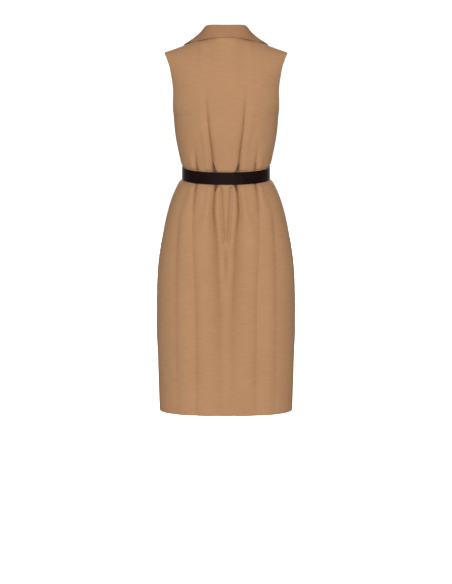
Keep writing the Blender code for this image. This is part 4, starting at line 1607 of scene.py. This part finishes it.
@dataclass(frozen=True)
class Lapel:
    """A lapel: it turns outwards over its front's edge and lies out flat on the front.

    The left one comes out from under the right one.
    """

    front: FrontPanel
    finish: Material
    rows: int = 110
    columns: int = 40
    left_start_z: float = -0.276
    tip_z: float = -0.086
    drop: float = 1.4 * MM
    overhang: float = 1.0 * MM
    turn: float = 0.02
    least: float = 3.0 * MM
    clear: float = 2.8 * MM
    half_double: float = 0.85 * MM
    roll_radius: float = 2.3 * MM
    roll_in: float = 1.2 * MM
    roll_steps: int = 10
    least_radius: float = 0.3 * MM
    leg: float = 9 * MM
    leg_steps: int = 6
    least_leg: float = 0.6 * MM
    edge: TurnedSheet = DOUBLED
    flat: tuple[float, float] = (0.135, 0.30)
    flat_area: float = 0.022

    def grid(self) -> Array:
        """The lapel's outer face on the front's own side.

        Each row starts inside the front, runs back to its edge, goes round it in a half circle
        and then out over the front to the lapel's free edge, lifted by the section's height.

        Returns:
            A grid of points.
        """
        front = self.front
        under = front.under
        free_edge = table(
            "z x",
            (front.break_z, -0.0300),
            (-0.300, 0.0000),
            (-0.250, 0.0410),
            (-0.200, 0.0780),
            (-0.150, 0.1080),
            (-0.110, 0.1260),
            (self.tip_z, 0.1320),
        )
        section = table(
            "share lift",
            (0.00, 0.0016),
            (0.10, 0.0030),
            (0.30, 0.0034),
            (0.50, 0.0029),
            (0.75, 0.0022),
            (1.00, 0.0018),
        )
        start = self.left_start_z if under else front.break_z
        w = np.linspace(0, 1, self.rows)[:, None]
        inner_z = start + (front.gorge_z - self.drop - start) * w
        outer_z = start + (self.tip_z - start) * w
        edge_x = front.edge_x(inner_z)
        hidden_x = self.clear - edge_x
        inner_x = np.maximum(edge_x, hidden_x) if under else edge_x
        free = edge_x - hidden_x if under else outer_z - front.break_z
        rolled = ease(free / self.turn)
        outer_x = smooth(outer_z, free_edge["z"], free_edge["x"])
        outer_x = np.maximum(outer_x, inner_x + self.least)
        inner_x = inner_x - self.overhang * rolled
        share = np.linspace(0, 1, self.columns)[None, :]
        resting = section["lift"][-1]
        lift = resting + (smooth(share, section["share"], section["lift"]) - resting) * rolled
        x = inner_x + (outer_x - inner_x) * share
        z = inner_z + (outer_z - inner_z) * share
        radius = self.roll_radius * rolled + self.least_radius
        angle = np.linspace(math.pi, 0, self.roll_steps)[None, :-1]
        top = lift[:, :1] + self.half_double
        round_x = inner_x + self.roll_in * rolled - radius * np.sin(angle)
        round_lift = top - radius + radius * np.cos(angle)
        inwards = np.linspace(1, 0, self.leg_steps)[None, :-1]
        leg = (self.leg * rolled + self.least_leg) * inwards
        leg_x = inner_x + self.roll_in * rolled + leg
        x = np.concatenate((leg_x, round_x, x + self.roll_in * rolled * (1 - share)), axis=1)
        ends = np.ones((1, leg.shape[1] + angle.shape[1]))
        z = np.concatenate((inner_z * ends, z), axis=1)
        leg_lift = np.broadcast_to(top - 2 * radius, leg.shape)
        lift = np.concatenate((leg_lift, round_lift, lift + self.half_double), axis=1)
        here, out = front.outer_frame(x, z)
        return here + out * lift[..., None]

    def build(self) -> None:
        """Builds the lapel."""
        side = self.front.side
        face = self.grid()
        uv = np.stack((arc(face, 1), arc(face, 0)), axis=-1)
        points, uv = self.edge.apply(face, uv, 1.0)
        points = points * np.array([side.value, 1, 1])
        name = f"lapel_{side.name.lower()}"
        made = Surface.grid("turned_" + name, points, uv, flip=side is Side.RIGHT)
        piece = sew(made, self.finish, self.edge.wall, name)


COLLAR_LINES = table(
    "station seam roll_x roll_y roll_z edge_x edge_y edge_z bulge",
    (0, 0.000, 0.0000, 0.0590, 0.0410, 0.0000, 0.0675, 0.0070, 0.0006),
    (1, 0.390, 0.0305, 0.0545, 0.0410, 0.0325, 0.0625, 0.0058, 0.0006),
    (2, 0.675, 0.0512, 0.0420, 0.0392, 0.0600, 0.0470, 0.0000, 0.0008),
    (3, 0.883, 0.0592, 0.0220, 0.0325, 0.0840, 0.0210, -0.0072, 0.0006),
    (4, 1.000, 0.0625, 0.0020, 0.0228, 0.1030, 0.0000, -0.0118, 0.0008),
    (5, 1.150, 0.0648, -0.0220, 0.0075, 0.1165, -0.0200, -0.0182, 0.0012),
    (6, 1.500, 0.0655, -0.0460, -0.0158, 0.1235, -0.0420, -0.0333, 0.0020),
    (7, 2.000, 0.0613, -0.0652, -0.0390, 0.1210, -0.0640, -0.0520, 0.0020),
)


@dataclass(frozen=True)
class Collar:
    """The turned-down collar: its stand rises from the neck seam, turns over at the roll line
    and falls to the outer edge; its ends lie on the fronts along the gorge."""

    front: FrontPanel
    finish: Material
    rows: int = 260
    columns: int = 60
    notch: tuple[float, float] = (0.1000, -0.0665)
    tip: tuple[float, float] = (0.1215, -0.0530)
    notch_share: float = 0.62
    gorge_gap: float = 2.5 * MM
    lift: float = 3.4 * MM
    end_lift: float = 2.2 * MM
    fold: float = 2.2 * MM
    foot_in: float = 0.9 * MM
    foot_up: float = 1.2 * MM
    foot_deeper: float = 1.9 * MM
    foot_down: float = 4.2 * MM
    end_turn: float = 1.7 * MM
    end_arc: float = 0.75  # share of a half circle through which the stand turns at the ends
    laid_stations: float = 1.6
    probe: float = 0.05  # stations to either side, for the roll line's direction
    under_fold: float = 1.2  # places of the points round the fold, in fold sizes
    crest_in: float = 0.36
    fall_out: float = 0.9
    fall_down: float = 0.8
    fall_shares: tuple[float, ...] = (0.0, 0.14, 0.30, 0.46, 0.62, 0.81, 1.0)
    end_shares: tuple[float, ...] = (0.0, 0.045, 0.16, 0.36, 0.62, 0.81, 1.0)
    half_double: float = 0.85 * MM
    edge: TurnedSheet = DOUBLED
    flat: tuple[float, float] = (0.47, 0.095)
    flat_area: float = 0.034
    lines: Table = field(default_factory=lambda: COLLAR_LINES)

    def line(self, name: str, station: Array) -> Array:
        """A column of the collar's table, read smoothly and mirrored to the other side.

        Args:
            name: The column.
            station: Stations, below 0 on the other side.

        Returns:
            Its values there.
        """
        sign = -1 if name in ("station", "roll_x", "edge_x") else 1
        both = np.concatenate((sign * self.lines[name][:0:-1], self.lines[name]))
        stations = self.lines["station"]
        return smooth(station, np.concatenate((-stations[:0:-1], stations)), both)

    def neck_seam(self, station: Array) -> Array:
        """Where the collar is sewn on: the back's neck seam, then down the front's roll line.

        Args:
            station: Stations from the nape.

        Returns:
            Points of the seam.
        """
        form, front = self.front.form, self.front
        seam = self.line("seam", station)
        back_x = form.neck_x * np.clip(seam, 0, 1)
        at_back = np.stack(
            (back_x, form.top_y(back_x, Half.BACK), form.top_z(back_x, Half.BACK)), axis=-1
        )
        down = np.clip(seam - 1, 0, 1)
        z = form.neck_z + (front.gorge_z + self.gorge_gap - form.neck_z) * down
        at_front = front.place(front.edge_x(z), z, np.zeros_like(z))
        return np.where((seam <= 1)[:, None], at_back, at_front)

    def end_line(self, share: Array) -> Array:
        """The collar's end on the front: along the gorge to the notch, then to its tip.

        Args:
            share: Shares of the way.

        Returns:
            The points there, lifted off the front.
        """
        front = self.front
        start_x = float(front.edge_x(np.array(front.gorge_z)))
        knots = (0, self.notch_share, 1)
        x = np.interp(share, knots, (start_x, self.notch[0], self.tip[0]))
        start_z, corner_z = front.gorge_z + self.gorge_gap, self.notch[1] + self.gorge_gap
        z = np.interp(share, knots, (start_z, corner_z, self.tip[1]))
        here, out = front.outer_frame(x, z)
        lift = self.lift + (self.end_lift - self.lift) * share
        return here + out * lift[:, None]

    def grid(self) -> Array:
        """The collar's visible face, one row for each station.

        Each row is a smooth curve from the foot up the stand, over the fold, and along the
        fall: a straight chord that bulges as 4 s (1 - s). Towards the ends the fall goes over
        into the line laid on the front, and the stand into part of a circle.

        Returns:
            A grid of points.
        """
        last = self.lines["station"][-1]
        station = np.linspace(-last, last, self.rows)
        side = np.stack((np.where(station < 0, -1.0, 1.0), *np.ones((2, self.rows))), axis=-1)
        seam = self.neck_seam(np.abs(station)) * side
        roll = np.stack([self.line("roll_" + axis, station) for axis in "xyz"], axis=-1)
        edge = np.stack([self.line("edge_" + axis, station) for axis in "xyz"], axis=-1)
        ahead = np.minimum(station + self.probe, last)
        behind = np.maximum(station - self.probe, -last)
        run = [self.line(name, ahead) - self.line(name, behind) for name in ("roll_x", "roll_y")]
        out = unit(np.stack((-run[1], run[0], np.zeros(self.rows)), axis=-1))
        flat = ease((np.abs(station) - last) / self.laid_stations + 1)[:, None, None]
        sewn_in = 1 - flat[:, 0]
        foot = seam - out * (self.foot_in + self.foot_deeper * sewn_in)
        foot = foot + UP * (self.foot_up - self.foot_down * sewn_in)
        stand_top = roll - out * self.fold - UP * self.fold * self.under_fold
        crest = roll - out * self.fold * self.crest_in
        start = roll + out * self.fold * self.fall_out - UP * self.fold * self.fall_down
        chord = edge - start
        bulge_way = unit(np.cross(np.cross(chord, UP), chord))
        share = np.array(self.fall_shares)
        bulge = self.line("bulge", station)[:, None] * 4 * share * (1 - share)
        fall = start[:, None] + chord[:, None] * share[None, :, None]
        fall = fall + bulge_way[:, None] * bulge[..., None]
        laid = self.end_line(np.array(self.end_shares))[None] * side[:, None]
        fall = fall + (laid - fall) * flat
        stand = np.stack((foot, (foot + stand_top) / 2, stand_top, crest), axis=1)
        turn = np.linspace(0, self.end_arc * math.pi, stand.shape[1])[None, :, None]
        middle, half = (foot + laid[:, 0])[:, None] / 2, (foot - laid[:, 0])[:, None] / 2
        end_turn = middle + half * np.cos(turn) - out[:, None] * self.end_turn * np.sin(turn)
        stand = stand + (end_turn - stand) * flat
        controls = np.concatenate((stand, fall), axis=1)
        middle = through(controls, np.linspace(0, controls.shape[1] - 1, self.columns))
        return middle + outwards(middle, -1.0) * self.half_double

    def build(self) -> None:
        """Builds the collar."""
        face = self.grid()
        uv = np.stack((arc(face, 0), arc(face, 1)), axis=-1)
        points, uv = self.edge.apply(face, uv, -1.0)
        made = Surface.grid("turned_collar", points, uv, flip=True)
        piece = sew(made, self.finish, self.edge.wall, "collar")


# ---------------- the belt


@dataclass(frozen=True)
class BeltPath:
    """The closed line of the belt's inner face round the waist.

    Distances run from the front centre towards the wearer's left, radial places from the
    strap's inner face outwards.
    """

    form: WornForm
    clear: float = 0.9 * MM
    front_clear: float = 1.2 * MM
    samples: int = 1440
    probe: float = 3 * MM  # to either side, for the line's direction

    def loop(self) -> Array:
        """Points of the oval |x/w|^n + |y/d|^n = 1 at even turns.

        Returns:
            Rows of x, y and the distance run.
        """
        form = self.form
        level = np.array(form.belt_z)
        turn = np.linspace(0, 2 * math.pi, self.samples + 1)
        sine, cosine = np.sin(turn), np.cos(turn)
        width = form.width(level, Half.BACK) + self.clear
        front_depth = form.depth(level, Half.FRONT) + self.front_clear
        depth = np.where(cosine > 0, front_depth, form.depth(level, Half.BACK) + self.clear)
        x = width * np.sign(sine) * np.abs(sine) ** (2 / form.squareness)
        y = -depth * np.sign(cosine) * np.abs(cosine) ** (2 / form.squareness)
        run = np.concatenate(([0], np.cumsum(np.hypot(np.diff(x), np.diff(y)))))
        return np.stack((x, y, run))

    @property
    def length(self) -> float:
        """The round of the belt's inner face."""
        return float(self.loop()[2, -1])

    def line(self, run: Array) -> Array:
        """Points of the line.

        Args:
            run: Distances from the front centre.

        Returns:
            The points, level with the belt's middle.
        """
        x, y, length = self.loop()
        run = np.mod(run, length[-1])
        level = np.full_like(run, self.form.belt_z)
        return np.stack((np.interp(run, length, x), np.interp(run, length, y), level), axis=-1)

    def at(self, run: Array, radial: Array, height: Array) -> Array:
        """Points beside the line, leaning with the waist.

        Args:
            run: Distances from the front centre.
            radial: Places outwards from the strap's inner face.
            height: Heights above the belt's middle.

        Returns:
            The points.
        """
        run, radial, height = np.broadcast_arrays(run, radial, height)
        along = unit(self.line(run + self.probe) - self.line(run - self.probe))
        out = np.stack((along[..., 1], -along[..., 0], np.zeros_like(run)), axis=-1)
        points = self.line(run) + out * radial[..., None] + UP * height[..., None]
        return self.form.lean(points)


def rounded_section(half_a: float, half_b: float, corner: float, steps: int) -> Array:
    """A rectangle with round corners: a quarter circle at each, turned by right angles.

    Args:
        half_a: Half-breadth one way.
        half_b: Half-breadth the other way.
        corner: The corners' radius.
        steps: Steps round each corner.

    Returns:
        A closed row of points, shaped (points, 2).
    """
    turn = np.linspace(0, math.pi / 2, steps + 1)
    quarter = np.stack((np.cos(turn), np.sin(turn)), axis=-1) * corner
    middle = np.array([half_a - corner, half_b - corner])
    parts = []
    for count, (a, b) in enumerate(((1, 1), (-1, 1), (-1, -1), (1, -1))):
        cos, sin = round(math.cos(count * math.pi / 2)), round(math.sin(count * math.pi / 2))
        turned = quarter @ np.array([[cos, sin], [-sin, cos]])
        parts.append(turned + middle * np.array([a, b]))
    return np.concatenate(parts)


BAR_SIDES = 24


def swept(name: str, middle: Array, side: Array, half: Array, closed: bool) -> Surface:
    """An oval bar along a line: half-breadth times cosine to one side, half-height times sine
    to the other.

    Args:
        name: The piece's name.
        middle: The line's points.
        side: A direction beside the line at each point.
        half: Half-breadth to the side and half-height at each point, shaped (points, 2).
        closed: Whether the line closes.

    Returns:
        The surface.
    """
    if closed:
        along = np.roll(middle, -1, axis=0) - np.roll(middle, 1, axis=0)
    else:
        along = np.gradient(middle, axis=0)
    along = unit(along)
    side = unit(side - along * np.sum(side * along, axis=1, keepdims=True))
    other = np.cross(along, side)
    turn = np.linspace(0, 2 * math.pi, BAR_SIDES + 1)[:-1]
    ring = (
        side[:, None] * (half[:, :1] * np.cos(turn))[..., None]
        + other[:, None] * (half[:, 1:] * np.sin(turn))[..., None]
    )
    return Surface.tube(name, middle[:, None] + ring, closed)


@dataclass(frozen=True)
class Strap:
    """The strap: it starts beside the buckle's heel bar, goes once round, passes through the
    buckle over its own start and ends in a point under the keeper."""

    path: BeltPath
    finish: Material
    thick: float = 2.6 * MM
    tall: float = 35 * MM
    start: float = 21.5 * MM
    tip: float = 112 * MM
    point: float = 20 * MM
    blunt: float = 0.30  # breadth of the point's end, to the strap's
    climb_run: float = -17 * MM  # from here, at the buckle's front bar, it climbs over its start
    climb: float = 27 * MM
    layer: float = 3.2 * MM  # how far out the second round lies
    rounding: float = 0.7 * MM
    fine_before: float = 44 * MM  # the rows lie close from here before the front centre
    fine_after: float = 63 * MM  # to here after it, for the holes
    rows: tuple[int, ...] = (300, 260, 16, 18)  # body, holes, tail and point
    columns: int = 46  # across the outer face
    lining_columns: int = 8  # across the inner face
    edge_steps: int = 5
    last_row: float = 0.05 * MM
    hole_run: float = 9.5 * MM
    hole_step: float = 25 * MM
    holes_beside: int = 2  # on either side of the one in use
    hole_radius: float = 2.0 * MM
    hole_floor: float = 0.35  # share of the radius that is level
    hole_depth: float = 1.6 * MM
    near_face: float = 0.01 * MM

    def places(self) -> Array:
        """Where the strap's rows lie: close at the holes, and as a sine towards the point's end.

        Returns:
            Distances along the path, as a column.
        """
        total = self.path.length
        end = total + self.tip
        knots = (self.start, total - self.fine_before, total + self.fine_after, end - self.point)
        spans = zip(knots, knots[1:], self.rows)
        parts = [np.linspace(low, high, rows)[:-1] for low, high, rows in spans]
        turn = np.linspace(0, math.pi / 2, self.rows[-1])[:-1]
        parts.append(end - self.point * (1 - np.sin(turn)))
        return np.concatenate((*parts, [end - self.last_row]))[:, None]

    def section(self) -> tuple[Array, Array]:
        """A flat section with rounded edges, from the lower edge up the outer face and down the
        inner one.

        Returns:
            Places outwards from the strap's middle and heights, each as a row.
        """
        wall, inner = self.thick / 2, self.tall / 2 - self.rounding
        turn = np.linspace(0, math.pi / 2, self.edge_steps)
        up, out = self.rounding * np.sin(turn), self.rounding * np.cos(turn)
        face = np.linspace(-inner, inner, self.columns)[1:-1]
        lining = np.linspace(inner, -inner, self.lining_columns + 2)[1:-1]
        flat = wall - self.rounding
        height = (-inner - up[::-1], face, inner + up, inner + up[::-1], lining, -inner - up)
        outer = (flat + out[::-1], np.full(face.size, wall), flat + out)
        inside = (-flat - out[::-1], np.full(lining.size, -wall), -flat - out)
        return np.concatenate((*outer, *inside))[None], np.concatenate(height)[None]

    def build(self) -> None:
        """Builds the strap: its section swept along the path, with round holes pressed in as
        1 - smoothstep of the distance from each hole's middle."""
        total, run = self.path.length, self.places()
        radial, height = self.section()
        rise = ease((run - total - self.climb_run) / self.climb)
        to_end = np.clip((total + self.tip - run) / self.point, 0, 1)
        narrow = self.blunt + (1 - self.blunt) * np.sqrt(1 - (1 - to_end) ** 2)
        wall = self.thick / 2
        pressed = np.zeros(np.broadcast_shapes(run.shape, height.shape))
        for count in range(-self.holes_beside, self.holes_beside + 1):
            away = np.hypot(run - total - self.hole_run - count * self.hole_step, height)
            pressed += 1 - ease(away / self.hole_radius - self.hole_floor)
        pressed = pressed * (radial > wall - self.near_face) * self.hole_depth
        rings = self.path.at(run, wall + self.layer * rise + radial - pressed, height * narrow)
        piece = Surface.tube("leather_strap", rings, closed=False).build(self.finish)
        finish_piece(piece, "belt_strap")


@dataclass(frozen=True)
class Buckle:
    """The plain frame buckle, closed, with its prong through the strap."""

    strap: Strap
    finish: Material
    heel_run: float = 17 * MM
    gap: float = 0.4 * MM  # between strap, bar and prong
    bar: float = 1.4 * MM  # half-sizes of the bar
    bar_flat: float = 1.9 * MM
    heel_thinner: float = 0.35 * MM
    heel_narrower: float = 0.8 * MM
    heel_share: float = 0.9  # the frame thins to its heel bar from this share of its length
    half_tall: float = 21 * MM
    corner: float = 6 * MM
    corner_steps: int = 10
    frame_steps: int = 160
    within: float = 0.9  # the bar's broad side points to an outline this much smaller
    prong: float = 1.0 * MM  # half-height of the prong
    prong_wide: float = 1.35  # its breadth, to its height
    prong_thins: float = 0.2
    prong_start: float = 9.5 * MM
    prong_end: float = -20.5 * MM
    prong_steps: int = 60
    prong_square: int = 10  # the higher, the blunter its ends
    prong_least: float = 0.02
    prong_climb: float = 0.55
    prong_dip: float = 0.9 * MM
    dip_share: float = 0.88

    @property
    def over_bar(self) -> float:
        """How far out the middle of the front bar lies, over the strap's first round."""
        return self.strap.thick + self.gap + self.bar

    def outline(self) -> tuple[Array, Array]:
        """The frame's rectangle with round corners, at even steps.

        Returns:
            Runs and heights.
        """
        half_long = (self.heel_run - self.strap.climb_run) / 2
        outline = rounded_section(half_long, self.half_tall, self.corner, self.corner_steps)
        closed = np.concatenate((outline, outline[:1]))
        length = np.concatenate(([0], np.cumsum(np.linalg.norm(np.diff(closed, axis=0), axis=1))))
        even = np.linspace(0, length[-1], self.frame_steps + 1)[:-1]
        return np.interp(even, length, closed[:, 0]), np.interp(even, length, closed[:, 1])

    def build_frame(self) -> None:
        """Builds the frame: an oval bar round the outline that thins to its heel bar."""
        run, height = self.outline()
        front = self.strap.climb_run
        to_heel = (run - front) / (self.heel_run - front)
        radial = self.over_bar + (self.bar - self.over_bar) * to_heel
        middle = self.strap.path.at(run, radial, height)
        within = self.strap.path.at(run * self.within, radial, height * self.within)
        at_heel = ease((to_heel - self.heel_share) / (1 - self.heel_share))
        wide = self.bar_flat - self.heel_narrower * at_heel
        half = np.stack((wide, self.bar - self.heel_thinner * at_heel), axis=-1)
        piece = swept("buckle_bar", middle, within - middle, half, True).build(self.finish)
        finish_piece(piece, "belt_buckle_frame")

    def build_prong(self) -> None:
        """Builds the prong, from a hole in the strap over the front bar and down beyond it.

        Its height thins evenly and rounds off at both ends as the root of 1 - s^n, with s
        from -1 to 1.
        """
        over_strap = self.strap.thick + self.strap.layer + self.gap + self.prong
        over_frame = self.over_bar + self.bar + self.gap + self.prong
        share = np.linspace(0, 1, self.prong_steps)
        run = self.prong_start + (self.prong_end - self.prong_start) * share
        radial = over_strap + (over_frame - over_strap) * ease(share / self.prong_climb)
        dipped = ease((share - self.dip_share) / (1 - self.dip_share))
        middle = self.strap.path.at(run, radial - self.prong_dip * dipped, np.zeros_like(run))
        rounded = 1 - (2 * share - 1) ** self.prong_square
        thin = self.prong * np.sqrt(np.clip(rounded, self.prong_least, 1))
        thin = thin * (1 - self.prong_thins * share)
        half = np.stack((thin * self.prong_wide, thin), axis=-1)
        side = np.broadcast_to(UP, middle.shape)
        piece = swept("buckle_prong", middle, side, half, False).build(self.finish)
        finish_piece(piece, "belt_buckle_prong")


@dataclass(frozen=True)
class Keeper:
    """The leather loop that holds the strap's end down."""

    strap: Strap
    run: float = 42 * MM
    long: float = 10 * MM
    wall: float = 1.3 * MM
    clear: float = 1.0 * MM
    corner: float = 1.6 * MM
    corner_steps: int = 6
    edge: float = 0.45 * MM
    edge_steps: int = 3

    def build(self) -> None:
        """Builds the keeper: a thin strip carried round both layers of the strap."""
        strap, half_wall = self.strap, self.wall / 2
        low, high = -self.clear, strap.thick + strap.layer + self.clear
        half_high = (high - low) / 2 + half_wall
        half_tall = strap.tall / 2 + self.clear + half_wall
        line = rounded_section(half_high, half_tall, self.corner, self.corner_steps)
        way = unit(np.roll(line, -1, axis=0) - np.roll(line, 1, axis=0))
        out = np.stack((way[:, 1], -way[:, 0]), axis=-1)
        strip = rounded_section(self.long / 2, half_wall, self.edge, self.edge_steps)
        run = self.run + strip[None, :, 0] + np.zeros((line.shape[0], 1))
        place = line[:, None] + out[:, None] * strip[None, :, 1:]
        rings = strap.path.at(run, (low + high) / 2 + place[..., 0], place[..., 1])
        piece = Surface.tube("leather_keeper", rings, True).build(strap.finish)
        finish_piece(piece, "belt_keeper")


# ---------------- studio


@dataclass(frozen=True)
class Studio:
    """A pale floor, soft light from both sides and the camera behind the wearer's back."""

    distance: float = 9.0
    elevation: float = 8.5
    aim_z: float = -0.7225
    frame_height: float = 1.664  # metres of the scene in the picture's height at the aim point
    sensor: float = 36.0
    far: float = 500.0
    paper: str = "D8D8D8"
    paper_roughness: float = 0.9
    white: str = "FFFFFF"
    floor_z: float = -1.80
    room: float = 30.0
    bend: float = 8.0
    bend_steps: int = 12
    floor_sides: int = 96
    room_light: float = 0.36
    floor_glow: float = 0.90
    key_watts: float = 770.0
    key_size: float = 5.0
    key_z: float = 1.6
    key_behind: float = 0.8  # the soft box stands this far behind the camera

    def floor(self) -> None:
        """A level disc of pale paper that bends up into a wall far away: a round profile of
        floor, quarter circle and wall, turned about the dress."""
        bend = np.linspace(0, math.pi / 2, self.bend_steps + 1)
        radius = np.concatenate(([0.0], self.room + self.bend * np.sin(bend)))
        radius = np.append(radius, radius[-1])
        height = np.concatenate(([0.0], self.bend * (1 - np.cos(bend)), [self.room]))
        turn = np.linspace(0, 2 * math.pi, self.floor_sides + 1)[:, None]
        grid = np.stack(
            (radius * np.cos(turn), radius * np.sin(turn), self.floor_z + height + 0 * turn),
            axis=-1,
        )
        paper, shader = new_material("pale_paper")
        feed(paper, shader, Base_Color=linear(self.paper), Roughness=self.paper_roughness)
        glow = {"Emission_Color": linear(self.white), "Emission_Strength": self.floor_glow}
        feed(paper, shader, **glow)
        floor = Surface.grid("floor", grid, grid[..., :2]).build(paper)
        floor.visible_diffuse = False
        floor.visible_glossy = False
        floor.visible_shadow = False

    def lights(self) -> None:
        """Soft boxes at the camera's side and opposite it, in a pale room."""
        world = bpy.data.worlds.new("room")
        world.use_nodes = True
        background = world.node_tree.nodes["Background"]
        background.inputs["Color"].default_value = linear(self.white)
        background.inputs["Strength"].default_value = self.room_light
        bpy.context.scene.world = world
        back_y = self.distance + self.key_behind
        for name, y in (("soft_box_back", back_y), ("soft_box_front", -self.distance)):
            light = bpy.data.lights.new(name, "AREA")
            light.shape = "SQUARE"
            light.size = self.key_size
            light.energy = self.key_watts
            box = bpy.data.objects.new(name, light)
            box.location = (0.0, y, self.key_z)
            aim = Vector((0, 0, self.aim_z)) - box.location
            box.rotation_euler = aim.to_track_quat("-Z", "Y").to_euler()
            box.visible_camera = False
            bpy.context.scene.collection.objects.link(box)

    def camera(self) -> None:
        """The camera: level with the shoulders' height and a little above, looking down."""
        lens = bpy.data.cameras.new("camera")
        lens.sensor_width = self.sensor
        lens.lens = self.sensor * self.distance / self.frame_height
        lens.clip_end = self.far
        eye = bpy.data.objects.new("camera", lens)
        tilt = math.radians(self.elevation)
        aim = Vector((0.0, 0.0, self.aim_z))
        back = Vector((0.0, math.cos(tilt), math.sin(tilt)))
        eye.location = aim + back * self.distance
        eye.rotation_euler = (-back).to_track_quat("-Z", "Y").to_euler()
        bpy.context.scene.collection.objects.link(eye)
        bpy.context.scene.camera = eye

    def build(self) -> None:
        """Sets everything up, with colours shown as they are."""
        self.floor()
        self.lights()
        self.camera()
        bpy.context.scene.view_settings.view_transform = "Standard"


def main() -> None:
    """Builds the dress and the studio, and reports each piece."""
    logging.basicConfig(level=logging.INFO, format="%(name)s: %(message)s")
    form = WornForm()
    wardrobe = Wardrobe.make()
    Studio().build()
    BackPanel(form, wardrobe.cloth).build()
    for side in Side:
        front = FrontPanel(form, wardrobe.cloth, side=side)
        front.build()
        Lapel(front, wardrobe.collar_cloth).build()
    over = FrontPanel(form, wardrobe.cloth, side=Side.RIGHT)
    Collar(over, wardrobe.collar_cloth).build()
    strap = Strap(BeltPath(form), wardrobe.leather)
    strap.build()
    buckle = Buckle(strap, wardrobe.metal)
    buckle.build_frame()
    buckle.build_prong()
    Keeper(strap).build()


if __name__ == "__main__":
    main()
